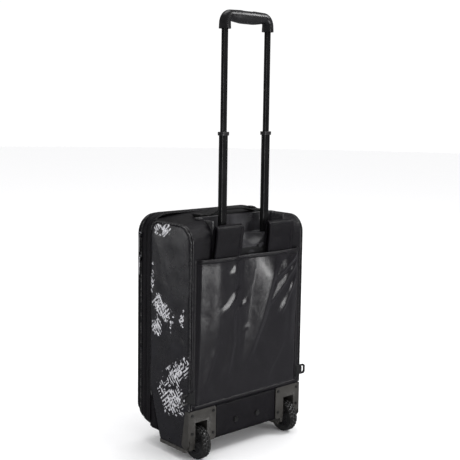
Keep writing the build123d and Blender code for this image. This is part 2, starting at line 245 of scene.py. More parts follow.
def makePatch():
    # one ragged patch of print
    group, given, out = newGroup(
        "printPatch",
        [
            ("Place", "NodeSocketVector", None),
            ("Centre", "NodeSocketVector", (0.0, 0.0, 0.0)),
            ("Spread", "NodeSocketVector", (0.05, 0.05, 1.0)),
        ],
        [("Mask", "NodeSocketFloat")],
    )
    away = group.nodes.new("ShaderNodeVectorMath")
    away.operation = "SUBTRACT"
    wire(group, away, 0, given.outputs["Place"])
    wire(group, away, 1, given.outputs["Centre"])
    share = group.nodes.new("ShaderNodeVectorMath")
    share.operation = "DIVIDE"
    wire(group, share, 0, away.outputs[0])
    wire(group, share, 1, given.outputs["Spread"])
    size = group.nodes.new("ShaderNodeVectorMath")
    size.operation = "LENGTH"
    wire(group, size, 0, share.outputs[0])
    rough = noiseOf(group, given.outputs["Place"], 48.0, 5.0, 0.65)
    edge = calc(group, "MULTIPLY_ADD", rough, -1.0, calc(group, "ADD", size.outputs["Value"], 0.5))
    group.links.new(ranged(group, edge, 1.15, 0.3), out.inputs["Mask"])
    return group


placeCamera()
placeLights()
print("camera and lights placed")
groups = {
    "weave": makeWeave(),
    "grain": makeGrain(),
    "wear": makeWear(),
    "dust": makeDust(),
    "patch": makePatch(),
}


class Finish:
    # one material, with short calls for what feeds its shader
    def __init__(self, name, colour, roughness, **fixed):
        self.material = bpy.data.materials.new(name)
        self.material.use_nodes = True
        self.tree = self.material.node_tree
        self.shader = self.tree.nodes["Principled BSDF"]
        self.shader.inputs["Base Color"].default_value = (*colour, 1)
        self.shader.inputs["Roughness"].default_value = roughness
        for label, value in fixed.items():
            self.shader.inputs[label.replace("_", " ")].default_value = value
        spots = self.tree.nodes.new("ShaderNodeTexCoord")
        self.cloth, self.place = spots.outputs["UV"], spots.outputs["Object"]

    def use(self, name, **given):
        node = self.tree.nodes.new("ShaderNodeGroup")
        node.node_tree = groups[name]
        for label, value in given.items():
            wire(self.tree, node, label, value)
        return node.outputs

    def blend(self, mask, first, second):
        node = self.tree.nodes.new("ShaderNodeMix")
        node.data_type = "RGBA"
        wire(self.tree, node, 0, mask)
        wire(self.tree, node, 6, first if isinstance(first, bpy.types.NodeSocket) else (*first, 1))
        wire(self.tree, node, 7, second if isinstance(second, bpy.types.NodeSocket) else (*second, 1))
        return node.outputs[2]

    def feed(self, label, value):
        self.tree.links.new(value, self.shader.inputs[label])

    def relief(self, height, depth, strength=1.0, under=None):
        node = self.tree.nodes.new("ShaderNodeBump")
        node.inputs["Distance"].default_value = depth
        node.inputs["Strength"].default_value = strength
        wire(self.tree, node, "Height", height)
        if under is not None:
            self.tree.links.new(under, node.inputs["Normal"])
        self.feed("Normal", node.outputs[0])
        return node.outputs[0]


def clothFinish(name, dark, light, rough, thread, depth, crush=0.0, dusty=0.12, **fixed):
    # woven cloth; crush is the depth of its slow creases
    made = Finish(name, dark, rough, **{"Specular_IOR_Level": 0.2, **fixed})
    weave = made.use("weave", Cloth=made.cloth, Thread=thread, Slub=0.3)
    tone = made.blend(ranged(made.tree, weave["Shade"], 0.3, 0.7), dark, light)
    dust = made.use("dust", Place=made.place, Amount=dusty)
    made.feed("Base Color", made.blend(dust["Mask"], tone, (0.09, 0.09, 0.09)))
    made.feed("Roughness", ranged(made.tree, weave["Shade"], 0.25, 0.75, rough - 0.07, rough + 0.08))
    under = None
    if crush:
        folds = noiseOf(made.tree, made.place, 38.0, 3.0, 0.5, 0.6)
        under = made.relief(folds, crush)
    made.relief(weave["Height"], depth, 1.0, under)
    return made.material


def plasticFinish(name, dark, light, rough, depth=0.00012, worn=(0.12, 0.12, 0.12), **fixed):
    # moulded plastic with a fine grain, paler where its edges are rubbed
    made = Finish(name, dark, rough, **{"Specular_IOR_Level": 0.3, **fixed})
    grain = made.use("grain", Place=made.place, Size=1100.0)
    tone = made.blend(ranged(made.tree, grain["Patch"], 0.35, 0.65), dark, light)
    wear = made.use("wear", Place=made.place, Reach=0.64)
    tone = made.blend(wear["Mask"], tone, worn)
    dust = made.use("dust", Place=made.place, Amount=0.1)
    made.feed("Base Color", made.blend(dust["Mask"], tone, (0.1, 0.1, 0.1)))
    made.feed("Roughness", ranged(made.tree, grain["Patch"], 0.3, 0.7, rough - 0.06, rough + 0.08))
    made.relief(grain["Height"], depth)
    return made.material


def metalFinish(name, dark, light, rough, metallic=1.0, streak=(300, 300, 12), depth=0.00003, **fixed):
    # drawn or plated metal; streak is how often its lines repeat along X, Y and Z
    made = Finish(name, dark, rough, Metallic=metallic, **fixed)
    lines = noiseOf(made.tree, turned(made.tree, made.place, 0, streak), 1.0, 3.0)
    grain = made.use("grain", Place=made.place, Size=700.0)
    made.feed("Base Color", made.blend(ranged(made.tree, grain["Patch"], 0.35, 0.65), dark, light))
    made.feed("Roughness", ranged(made.tree, lines, 0.3, 0.7, rough - 0.05, rough + 0.07))
    made.relief(lines, depth)
    return made.material


def webbingFinish():
    # ribbed black webbing, ribs across the width
    made = Finish("ribbedWebbing", (0.006, 0.0055, 0.0066), 0.42, Specular_IOR_Level=0.35)
    x, y, _ = axes(made.tree, made.cloth)
    ribs = calc(made.tree, "SINE", calc(made.tree, "MULTIPLY", y, 2 * math.pi / 0.0018))
    side = calc(made.tree, "SINE", calc(made.tree, "MULTIPLY", x, 2 * math.pi / 0.0026))
    height = calc(made.tree, "MULTIPLY_ADD", side, 0.35, ribs)
    weave = made.use("weave", Cloth=made.cloth, Thread=0.0009, Slub=0.4)
    shade = ranged(made.tree, weave["Shade"], 0.3, 0.7)
    made.feed("Base Color", made.blend(shade, (0.005, 0.005, 0.0055), (0.013, 0.013, 0.014)))
    made.relief(height, 0.0003, 0.9)
    return made.material


printPatches = (
    # centre and half size on the panel in metres, and the turn in degrees
    (-0.012, 0.522, 0.034, 0.017, -12),
    (-0.050, 0.395, 0.008, 0.055, 6),
    (-0.006, 0.332, 0.058, 0.022, 40),
    (-0.028, 0.290, 0.018, 0.030, -10),
    (0.062, 0.322, 0.010, 0.026, 10),
    (0.040, 0.196, 0.070, 0.026, -48),
    (0.026, 0.140, 0.050, 0.046, 24),
)
printShards = (
    # shards per metre, how full of them a patch is, spacing of the hatching, wave height where ink starts
    (36.0, 0.8, 0.0086, 0.15),
    (74.0, 0.5, 0.0070, 0.1),
    (190.0, 0.2, 0.0200, -1.3),
)


def printedFinish():
    # coated black cloth; pale shards and hatching thin out from ragged patches
    made = Finish("printedCloth", (0.006, 0.0065, 0.008), 0.26, Specular_IOR_Level=0.42)
    tree = made.tree
    field = None
    for y, z, wide, high, turn in printPatches:
        a = math.radians(turn)
        middle = (y * math.cos(a) - z * math.sin(a), y * math.sin(a) + z * math.cos(a), 0)
        place = turned(tree, made.cloth, turn, (1, 1, 1))
        mask = made.use("patch", Place=place, Centre=middle, Spread=(wide, high, 1))["Mask"]
        field = mask if field is None else calc(tree, "MAXIMUM", field, mask)
    slanted = turned(tree, made.cloth, -40, (1, 1, 1))
    u, v, _ = axes(tree, slanted)
    shards = None
    for scale, full, pitch, inked in printShards:
        cell = tree.nodes.new("ShaderNodeTexVoronoi")
        cell.distance = "CHEBYCHEV"
        cell.inputs["Scale"].default_value = scale
        tree.links.new(slanted, cell.inputs["Vector"])
        pick, way, _ = axes(tree, cell.outputs["Color"])
        chosen = calc(tree, "LESS_THAN", pick, calc(tree, "MULTIPLY", field, full))
        along = [calc(tree, "SINE", calc(tree, "MULTIPLY", axis, 2 * math.pi / pitch)) for axis in (u, v)]
        first = calc(tree, "GREATER_THAN", way, 0.45)
        second = calc(tree, "SUBTRACT", 1.0, first)
        wave = calc(tree, "MULTIPLY_ADD", along[0], first, calc(tree, "MULTIPLY", along[1], second))
        part = calc(tree, "MULTIPLY", chosen, ranged(tree, wave, inked, inked + 0.3))
        shards = part if shards is None else calc(tree, "MAXIMUM", shards, part)
    streaks = turned(tree, made.cloth, 30, (420, 110, 1))
    scratch = ranged(tree, noiseOf(tree, streaks, 1.0, 4.0, 0.75), 0.40, 0.50)
    ink = ranged(tree, calc(tree, "MULTIPLY", shards, scratch), 0.18, 0.5)
    weave = made.use("weave", Cloth=made.cloth, Thread=0.0007, Slub=0.2)
    woven = ranged(tree, weave["Shade"], 0.3, 0.7)
    cloth = made.blend(woven, (0.0036, 0.0034, 0.0046), (0.0088, 0.0084, 0.0112))
    shade = ranged(tree, noiseOf(tree, made.cloth, 90.0, 3.0), 0.3, 0.7)
    pale = made.blend(shade, (0.26, 0.26, 0.28), (0.66, 0.66, 0.69))
    made.feed("Base Color", made.blend(ink, cloth, pale))
    made.feed("Roughness", ranged(tree, noiseOf(tree, made.cloth, 30.0, 4.0), 0.3, 0.7, 0.18, 0.32))
    under = made.relief(noiseOf(tree, made.place, 13.0, 2.0, 0.4, 0.5), 0.0011)
    made.relief(weave["Height"], 0.00006, 0.8, under)
    return made.material


def airMeshFinish():
    # spacer mesh with open hexagon-like holes
    made = Finish("airMesh", (0.006, 0.006, 0.0065), 0.7, Specular_IOR_Level=0.2)
    cell = made.tree.nodes.new("ShaderNodeTexVoronoi")
    cell.inputs["Scale"].default_value = 330.0
    cell.inputs["Randomness"].default_value = 0.12
    made.tree.links.new(made.cloth, cell.inputs["Vector"])
    hole = ranged(made.tree, cell.outputs["Distance"], 0.2, 0.45)
    # the holes are painted darker than the rims between them: painted shade in the openings
    made.feed("Base Color", made.blend(hole, (0.002, 0.002, 0.002), (0.014, 0.014, 0.015)))
    made.relief(hole, 0.0011)
    return made.material


def rubberFinish():
    # tyre rubber with a little road dust
    made = Finish("tyreRubber", (0.01, 0.01, 0.01), 0.34, Specular_IOR_Level=0.55)
    grain = made.use("grain", Place=made.place, Size=600.0)
    dust = ranged(made.tree, noiseOf(made.tree, made.place, 70.0, 5.0, 0.7), 0.5, 0.8, 0.0, 0.35)
    patch = ranged(made.tree, grain["Patch"], 0.35, 0.65)
    tone = made.blend(patch, (0.006, 0.006, 0.006), (0.014, 0.014, 0.014))
    made.feed("Base Color", made.blend(dust, tone, (0.05, 0.048, 0.046)))
    made.relief(grain["Height"], 0.0002)
    return made.material


finishes = {
    # the record's slots, and four finishes that have no slot of their own
    "nylon": clothFinish(
        "blackNylon", (0.0032, 0.0028, 0.0038), (0.0066, 0.0058, 0.0078), 0.4, 0.0006, 0.00012, 0.0012,
        Specular_IOR_Level=0.14,
    ),
    "pocketNylon": clothFinish(
        "crinkledNylon", (0.0034, 0.0029, 0.0041), (0.006, 0.0052, 0.0072), 0.22, 0.0004, 0.00003, 0.0004,
        dusty=0.02, Specular_IOR_Level=0.5,
    ),
    "coated_print": printedFinish(),
    "trim": clothFinish(
        "boundTrim", (0.0034, 0.003, 0.004), (0.0076, 0.0068, 0.0088), 0.34, 0.0011, 0.0002,
        Specular_IOR_Level=0.28,
    ),
    "piping": plasticFinish(
        "cordedVinyl", (0.0044, 0.004, 0.005), (0.008, 0.0074, 0.0092), 0.24, 0.00004,
        Specular_IOR_Level=0.6,
    ),
    "zip_tape": clothFinish(
        "zipTape", (0.003, 0.0027, 0.0035), (0.0064, 0.0058, 0.0074), 0.6, 0.0012, 0.0003,
    ),
    "zipTeeth": plasticFinish("zipTeeth", (0.006, 0.006, 0.0065), (0.012, 0.012, 0.013), 0.3, 0.00003),
    "lining": clothFinish(
        "darkLining", (0.05, 0.05, 0.056), (0.085, 0.085, 0.095), 0.55, 0.0005, 0.0001, 0.002,
    ),
    "webbing": webbingFinish(),
    "strap_cloth": clothFinish(
        "strapCloth", (0.0024, 0.0021, 0.003), (0.0062, 0.0054, 0.0074), 0.34, 0.0009, 0.0002, 0.0009,
        Specular_IOR_Level=0.13,
    ),
    "airMesh": airMeshFinish(),
    "thread": clothFinish(
        "sewingThread", (0.012, 0.012, 0.013), (0.03, 0.03, 0.032), 0.5, 0.0003, 0.0001,
    ),
    "board": plasticFinish("palePolyethylene", (0.32, 0.32, 0.32), (0.42, 0.42, 0.42), 0.5),
    "recess_plastic": plasticFinish(
        "recessPlastic", (0.014, 0.0135, 0.0155), (0.022, 0.0213, 0.0245), 0.32, 0.00004,
        Specular_IOR_Level=0.32,
    ),
    "housing_plastic": plasticFinish(
        "housingPlastic", (0.026, 0.0245, 0.022), (0.036, 0.034, 0.031), 0.42, 0.00015,
        worn=(0.09, 0.088, 0.085),
    ),
    "grip_plastic": plasticFinish(
        "gripPlastic", (0.006, 0.0058, 0.0066), (0.0115, 0.011, 0.0125), 0.3, 0.0001,
        worn=(0.03, 0.03, 0.032), Specular_IOR_Level=0.32,
    ),
    "tube_paint": metalFinish(
        "tubePaint", (0.003, 0.003, 0.0033), (0.006, 0.006, 0.0065), 0.26, 0.0,
        depth=0.000004, Specular_IOR_Level=0.14,
    ),
    "tyre": rubberFinish(),
    "hub": plasticFinish("hubPlastic", (0.01, 0.01, 0.011), (0.02, 0.02, 0.021), 0.34),
    "steel": metalFinish("plainSteel", (0.42, 0.42, 0.43), (0.62, 0.62, 0.63), 0.32),
    "dark_steel": metalFinish("darkSteel", (0.02, 0.02, 0.02), (0.05, 0.05, 0.05), 0.3, 0.8),
    "zip_metal": metalFinish(
        "platedZinc", (0.10, 0.10, 0.105), (0.42, 0.42, 0.44), 0.2, streak=(200, 200, 200),
    ),
    "ring_plastic": plasticFinish(
        "ringPlastic", (0.006, 0.006, 0.006), (0.01, 0.01, 0.01), 0.18, 0.00003, Specular_IOR_Level=0.5,
    ),
}
print("finishes made:", len(finishes))


floorSet = {
    "colour": (0.93, 0.93, 0.94),
    "reflected": (0.16, 0.16, 0.17),  # what glossy surfaces see of it
    "radius": 14.0,
    "glow": (0.9, 2.4, 0.16),  # where it starts to fade up, where it is full, how much
}


def layFloor():
    # a wide plain floor with a soft, even tone, fading up to the room's white far away
    made = Finish("paleFloor", floorSet["colour"], 0.55)
    grain = made.use("grain", Place=made.place, Size=40.0)
    tone = made.blend(grain["Patch"], (0.91, 0.91, 0.92), (0.94, 0.94, 0.95))
    rays = made.tree.nodes.new("ShaderNodeLightPath")
    made.feed("Base Color", made.blend(rays.outputs["Is Glossy Ray"], tone, floorSet["reflected"]))
    away = made.tree.nodes.new("ShaderNodeVectorMath")
    away.operation = "LENGTH"
    wire(made.tree, away, 0, made.place)
    near, far, most = floorSet["glow"]
    glow = ranged(made.tree, away.outputs["Value"], near, far, 0.0, most)
    glow = calc(made.tree, "MULTIPLY", glow, rays.outputs["Is Camera Ray"])
    made.shader.inputs["Emission Color"].default_value = (1, 1, 1, 1)
    made.feed("Emission Strength", glow)
    shape = bmesh.new()
    bmesh.ops.create_circle(shape, cap_ends=True, segments=96, radius=floorSet["radius"])
    data = bpy.data.meshes.new("floor")
    shape.to_mesh(data)
    shape.free()
    floor = bpy.data.objects.new("floor", data)
    floor.data.materials.append(made.material)
    bpy.context.scene.collection.objects.link(floor)


layFloor()
bothSides = ((1, "Right"), (-1, "Left"))


def span(low, high, count):
    # count even steps from low to high
    return [low + (high - low) * i / count for i in range(count + 1)]


def facing(points, side):
    # the same points, read the way that turns their faces outwards on that side
    return points if side > 0 else points[::-1]


def addPiece(name, data, finish, body, slot=None, stands=(), smooth=True):
    piece = bpy.data.objects.new(name, data)
    bpy.context.scene.collection.objects.link(piece)
    for one in [finish] if isinstance(finish, str) else finish:
        piece.data.materials.append(finishes[one])
    if smooth and isinstance(data, bpy.types.Mesh):
        data.shade_smooth()
    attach(piece, body)
    if stands:
        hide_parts(*stands)
    return piece


def gridMesh(name, rows, loop=False, tube=False, skip=None, other=None, flat=None, closeEnds=False):
    # rows of points become quads; loop joins each row's ends, tube joins the last row to the first
    count = len(rows[0])
    data = bpy.data.meshes.new(name)
    spots = [p for row in rows for p in row]
    faces, spread = [], []
    middle = rows[len(rows) // 2]
    along, acrossAt = [0.0], [0.0]
    for i in range(1, count + 1):
        along.append(along[-1] + (middle[i % count] - middle[i - 1]).length)
    for i in range(1, len(rows) + 1):
        acrossAt.append(acrossAt[-1] + (rows[i % len(rows)][count // 2] - rows[i - 1][count // 2]).length)
    kinds = []
    for r in range(len(rows) if tube else len(rows) - 1):
        for c in range(count if loop else count - 1):
            d, e = (r + 1) % len(rows), (c + 1) % count
            face = (r * count + c, r * count + e, d * count + e, d * count + c)
            centre = (spots[face[0]] + spots[face[2]]) / 2
            if skip and skip(centre):
                continue
            faces.append(face)
            kinds.append(1 if other and other(centre) else 0)
            if flat:
                spread += [flat(spots[k]) for k in face]
            else:
                left, right, near, far = along[c], along[c + 1], acrossAt[r], acrossAt[r + 1]
                spread += [(left, near), (right, near), (right, far), (left, far)]
    if closeEnds:
        ends = ((len(rows) - 1, range(count)), (0, range(count - 1, -1, -1)))
        for r, order in ends[:1] if closeEnds == "last" else ends:
            faces.append(tuple(r * count + c for c in order))
            kinds.append(0)
            spread += [flat(spots[r * count + c]) if flat else (along[c], 0.0) for c in order]
    data.from_pydata([tuple(p) for p in spots], [], faces)
    layer = data.uv_layers.new(name="clothMetres")
    for corner, uv in zip(layer.data, spread):
        corner.uv = uv
    for face, kind in zip(data.polygons, kinds):
        face.material_index = kind
    return data


def thicken(piece, depth, offset=-1.0, inside=None):
    # inside names the finish of the hidden face
    made = piece.modifiers.new("thickness", "SOLIDIFY")
    made.thickness, made.offset = depth, offset
    if inside:
        made.material_offset = len(piece.data.materials)
        for _ in range(made.material_offset):
            piece.data.materials.append(finishes[inside])
    return piece


def clothPiece(name, rows, finish, body, depth, slot=None, stands=(), offset=-1.0, inside=None, **mesh):
    # a sheet of points, hung on its body and made thick
    piece = addPiece(name, gridMesh(name, rows, **mesh), finish, body, slot, stands)
    return thicken(piece, depth, offset, inside)


def settle(piece):
    # the modifiers' result becomes the piece's own mesh
    ready = piece.evaluated_get(bpy.context.evaluated_depsgraph_get())
    data = bpy.data.meshes.new_from_object(ready)
    piece.modifiers.clear()
    piece.data = data
    return piece


def cordPiece(name, points, radius, finish, body, closed=False, slot=None, stands=()):
    data = bpy.data.curves.new(name, "CURVE")
    data.dimensions, data.bevel_depth, data.bevel_resolution = "3D", radius, 3
    data.use_fill_caps = True
    line = data.splines.new("POLY")
    line.points.add(len(points) - 1)
    for spot, p in zip(line.points, points):
        spot.co = (*p, 1)
    line.use_cyclic_u = closed
    line.use_smooth = True
    return addPiece(name, data, finish, body, slot, stands)


def roundedOutline(corners, step=0.004):
    # (u, v, radius) corners become evenly spaced points round the outline
    ring = []
    count = len(corners)
    for i in range(count):
        here, before, after = (Vector(corners[(i + k) % count][:2]) for k in (0, -1, 1))
        radius = corners[i][2]
        toBefore, toAfter = (before - here).normalized(), (after - here).normalized()
        half = toBefore.angle(toAfter) / 2
        reach = radius / math.tan(half) if radius else 0.0
        centre = here + (toBefore + toAfter).normalized() * (radius / math.sin(half))
        start, end = here + toBefore * reach, here + toAfter * reach
        if radius == 0:
            ring.append(here)
            continue
        for k in range(9):
            spot = (start - centre).lerp(end - centre, k / 8)
            ring.append(centre + spot.normalized() * radius)
    return evenly(ring, step, True)


def evenly(points, step, closed=False):
    # the same line, with points an even distance apart
    ends = points + [points[0]] if closed else points
    lengths = [0.0]
    for a, b in zip(ends, ends[1:]):
        lengths.append(lengths[-1] + (b - a).length)
    count = max(4, round(lengths[-1] / step))
    spots, k = [], 0
    for i in range(count if closed else count + 1):
        goal = lengths[-1] * i / count
        while k < len(lengths) - 2 and lengths[k + 1] < goal:
            k += 1
        share = (goal - lengths[k]) / max(1e-9, lengths[k + 1] - lengths[k])
        spots.append(ends[k].lerp(ends[k + 1], share))
    return spots


def ripple(place, rate, seed=0.0, octaves=3):
    return noise.fractal(Vector(place) * rate + Vector((seed, seed * 1.7, -seed)), 0.6, 2.1, octaves)


def smooth(value, low, high):
    share = min(1.0, max(0.0, (value - low) / (high - low)))
    return share * share * (3 - 2 * share)


def profileAt(profile, at):
    # straight steps between (place, height) pairs
    for (a, low), (b, high) in zip(profile, profile[1:]):
        if at <= b:
            return low + (high - low) * smooth(at, a, b)
    return profile[-1][1]


thread = {"pitch": 0.0042, "length": 0.0028, "radius": 0.00035}


def stitches(name, points, outward, body):
    # one run of thread: short raised capsules in a single mesh
    length, radius = thread["length"], thread["radius"]
    line = evenly(points, thread["pitch"])
    shape = bmesh.new()
    for a, b in zip(line, line[1:]):
        along = (b - a).normalized()
        out = outward(a) if callable(outward) else outward
        side = along.cross(out).normalized()
        rings = []
        for t, lift in ((-0.5, -0.2), (-0.35, 0.8), (0.35, 0.8), (0.5, -0.2)):
            centre = (a + b) / 2 + along * length * t + out * radius * lift
            around = [k * math.pi / 2 for k in range(4)]
            rings.append([
                shape.verts.new(centre + (side * math.cos(turn) + out * math.sin(turn)) * radius)
                for turn in around
            ])
        for one, two in zip(rings, rings[1:]):
            for k in range(4):
                shape.faces.new((one[k], one[(k + 1) % 4], two[(k + 1) % 4], two[k]))
        shape.faces.new(rings[0][::-1])
        shape.faces.new(rings[-1])
    data = bpy.data.meshes.new(name)
    shape.to_mesh(data)
    shape.free()
    return addPiece(name, data, "thread", body)


def easedCopy(node, width, cuts=(), mould=None):
    # a moulded or cast part with its edges eased; the plain solid isn't shown
    # cuts are the X places of extra edge loops, mould moves each point
    data = nodes[node].data.copy()
    shape = bmesh.new()
    shape.from_mesh(data)
    bmesh.ops.remove_doubles(shape, verts=shape.verts, dist=0.00002)
    bmesh.ops.dissolve_limit(shape, angle_limit=math.radians(1.0), verts=shape.verts, edges=shape.edges)
    for x in cuts:
        every = shape.verts[:] + shape.edges[:] + shape.faces[:]
        bmesh.ops.bisect_plane(shape, geom=every, dist=0.000001, plane_co=(x, 0, 0), plane_no=(1, 0, 0))
    if mould:
        for spot in shape.verts:
            spot.co = mould(spot.co)
    shape.to_mesh(data)
    shape.free()
    data.materials.clear()
    piece = addPiece(node + "Eased", data, slotOf[node], bodyOf[node], slotOf[node], [node])
    made = piece.modifiers.new("easedEdges", "BEVEL")
    made.width, made.segments, made.limit_method = width, 2, "ANGLE"
    made.angle_limit = math.radians(28)
    made.harden_normals = False
    made.use_clamp_overlap = True
    data.shade_smooth()
    data.set_sharp_from_angle(angle=math.radians(40))
    return piece


gussetLow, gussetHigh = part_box("gusset")
front = {
    "halfWidth": gussetHigh.x,
    "low": gussetLow.z,
    "high": gussetHigh.z,
    "zip": (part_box("zip_tape_case")[0].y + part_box("zip_tape_lid")[1].y) / 2,
    "frontY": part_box("front_pocket")[0].y,
    "toe": 0.044,
    "brow": 0.014,
    "topCorner": 0.042,
    "lowCorner": 0.026,
}
ahead, behind = Vector((0, -1, 0)), Vector((0, 1, 0))


def frontLoop(y, out):
    # the front section's outline at one depth, anticlockwise from the middle of the bottom
    inToe = max(0.0, front["frontY"] + front["toe"] - y)
    inBrow = max(0.0, front["frontY"] + front["brow"] - y)
    low = front["low"] + front["toe"] - math.sqrt(max(0.0, front["toe"] ** 2 - inToe**2)) - out
    high = front["high"] - front["brow"] + math.sqrt(max(0.0, front["brow"] ** 2 - inBrow**2)) + out
    x = front["halfWidth"] + out
    lowR, topR = front["lowCorner"] + out, front["topCorner"] + out
    spots = [(0.0, low)]

    def straight(x0, z0, x1, z1, count):
        spots.extend((x0 + (x1 - x0) * i / count, z0 + (z1 - z0) * i / count) for i in range(1, count))

    def corner(cx, cz, radius, start):
        for k in range(9):
            a = math.radians(start + 90 * k / 8)
            spots.append((cx + radius * math.cos(a), cz + radius * math.sin(a)))

    straight(0, low, x - lowR, low, 12)
    corner(x - lowR, low + lowR, lowR, -90)
    straight(x, low + lowR, x, high - topR, 44)
    corner(x - topR, high - topR, topR, 0)
    straight(x - topR, high, -x + topR, high, 26)
    corner(-x + topR, high - topR, topR, 90)
    straight(-x, high - topR, -x, low + lowR, 44)
    corner(-x + lowR, low + lowR, lowR, 180)
    straight(-x + lowR, low, 0, low, 12)
    return [Vector((px, y, pz)) for px, pz in spots]


def bandRows(profile, crush=0.0, seed=0.0):
    # rows of points round the front section, from a profile of (y, height off the outline) in mm
    rows = []
    for y, out in profile:
        row = frontLoop(y / 1000, out / 1000)
        if crush:
            base = frontLoop(y / 1000, out / 1000 + 0.001)
            row = [p + (q - p).normalized() * crush * ripple(p, 38, seed) for p, q in zip(row, base)]
        rows.append(row)
    return rows


gusset = {
    # two soft rolls with the seam between them
    "rolls": (
        (-55, -2.0), (-55.6, 0.2), (-58, 1.3), (-62, 1.9), (-67, 1.7), (-70.5, 0.7), (-72, -0.8),
        (-73.5, 0.7), (-77, 1.6), (-82, 1.8), (-86.5, 1.0), (-89, 0.1), (-90, -1.6),
    ),
    "crush": 0.0007,
    # name, y, height off the outline, radius
    "cords": (
        ("gussetRearPiping", -0.0558, 0.0012, 0.0021),
        ("gussetFrontBinding", -0.0893, 0.0006, 0.0013),
    ),
    "seams": (("gussetStitchRear", -0.0700), ("gussetStitchFront", -0.0742)),
    "seamHigh": 0.0010,
}
wedge = {
    # the cloth over each wheel, where the gusset meets the slanted side panel
    "front": -0.0565,
    "rearmost": -0.056,
    "low": 0.0475,
    "high": 0.172,
    "slantFrom": (-0.0185, 0.028),  # y and z
    "slant": (0.037, 0.112),  # this far forward over this height
}


def makeGusset():
    rows = bandRows(gusset["rolls"], gusset["crush"], 3.1)
    clothPiece("gussetCloth", rows, "nylon", "case", 0.0016, "nylon", ["gusset"], inside="lining", loop=True)
    for name, y, out, radius in gusset["cords"]:
        cordPiece(name, frontLoop(y, out), radius, "trim", "case", True)
    for name, y in gusset["seams"]:
        line = frontLoop(y, gusset["seamHigh"])
        stitches(name, line, lambda p: Vector((p.x, 0, p.z - 0.3)).normalized(), "case")
    startY, startZ = wedge["slantFrom"]
    run, rise = wedge["slant"]
    for side, label in bothSides:
        rows = []
        for z in span(wedge["low"], wedge["high"], 8):
            back = max(startY - (z - startZ) / rise * run, wedge["rearmost"])
            row = []
            for i, y in enumerate(span(wedge["front"], back, 5)):
                bulge = 0.0006 * math.sin(math.pi * i / 5) - 0.0004
                row.append(Vector((side * (front["halfWidth"] + bulge), y, z)))
            rows.append(facing(row, side))
        stands = ["corner_panel_" + label.lower()]
        clothPiece("cornerCloth" + label, rows, "nylon", "case", 0.0016, "nylon", stands)


zipSet = {
    "pitch": 0.0034,
    "tooth": 0.0016,
    "reach": 0.0021,
    "high": 0.0017,
    "sections": ((0.0, 1.0), (0.55, 0.75), (1.0, 1.15)),  # share of the reach, share of the width
    "headHigh": 0.7,
    "hinge": (0.002, 0.045),  # the zip stops this close to -X, this far below the top
    "apart": 0.0023,  # from the middle of the zip to a tooth's root
    # label, body, its tape's y in mm, the last one off the middle, the teeth's way, node
    "sides": (
        ("Case", "case", (-89.8, -91.2, 0.4), ahead, "zip_tape_case"),
        ("Lid", "lid", (-95.7, -94.3, -0.4), behind, "zip_tape_lid"),
    ),
}
# the stretch of each side that has no corner in it
core = {"x": 0.133, "z": 0.209, "middle": 0.294}


def zipLine(y, out):
    # round three sides; the fourth is the fabric hinge
    margin, below = zipSet["hinge"]
    loop = frontLoop(y, out)
    keep = [p for p in loop if not (p.x < -front["halfWidth"] + margin and p.z < front["high"] - below)]
    first = next(i for i, p in enumerate(keep) if (keep[i - 1] - p).length > 0.05)
    return keep[first:] + keep[:first]


def teethMesh(name, line, towards, outward):
    shape = bmesh.new()
    spots = evenly(line, zipSet["pitch"])
    for a, b in zip(spots, spots[1:]):
        along = (b - a).normalized()
        out = outward(a)
        middle = (a + b) / 2
        corners = []
        for s in (-0.5, 0.5):
            for t, w in zipSet["sections"]:
                for h in (-0.5, 0.5):
                    corners.append(shape.verts.new(
                        middle + along * zipSet["tooth"] * s * w + towards * zipSet["reach"] * t
                        + out * zipSet["high"] * h * (1.0 if t < 1 else zipSet["headHigh"])
                    ))
        for t in (0, 1):
            for face in ((0, 1, 3, 2), (6, 8, 9, 7), (0, 2, 8, 6), (1, 7, 9, 3)):
                shape.faces.new([corners[k + 2 * t] for k in face])
        shape.faces.new([corners[k] for k in (0, 6, 7, 1)])
        shape.faces.new([corners[k] for k in (4, 5, 11, 10)])
    bmesh.ops.recalc_face_normals(shape, faces=shape.faces)
    data = bpy.data.meshes.new(name)
    shape.to_mesh(data)
    shape.free()
    return data


def outwardFrom(p):
    # away from the case's middle, square to the nearest side
    x, z = p.x, p.z - core["middle"]
    side = Vector((x / core["x"], 0, z / core["z"]))
    pastX, pastZ = max(0, abs(x) - core["x"]), max(0, abs(z) - core["z"])
    corner = Vector((math.copysign(pastX, x), 0, math.copysign(pastZ, z)))
    return (corner if corner.length > 1e-6 else side).normalized()


def makeZip():
    mid = front["zip"]
    for label, body, (edge, near, past), towards, node in zipSet["sides"]:
        rows = bandRows([(edge, -1.2), (near, -0.7), (mid * 1000 + past, -1.0)])
        rows = facing(rows, -towards.y)
        clothPiece("zipTape" + label, rows, "zip_tape", body, 0.0012, "zip_tape", [node], loop=True)
        line = zipLine(mid - towards.y * zipSet["apart"], 0.0001)
        data = teethMesh("zipTeeth" + label, line, towards, outwardFrom)
        addPiece("zipTeeth" + label, data, "zipTeeth", body, "zip_tape", smooth=False)


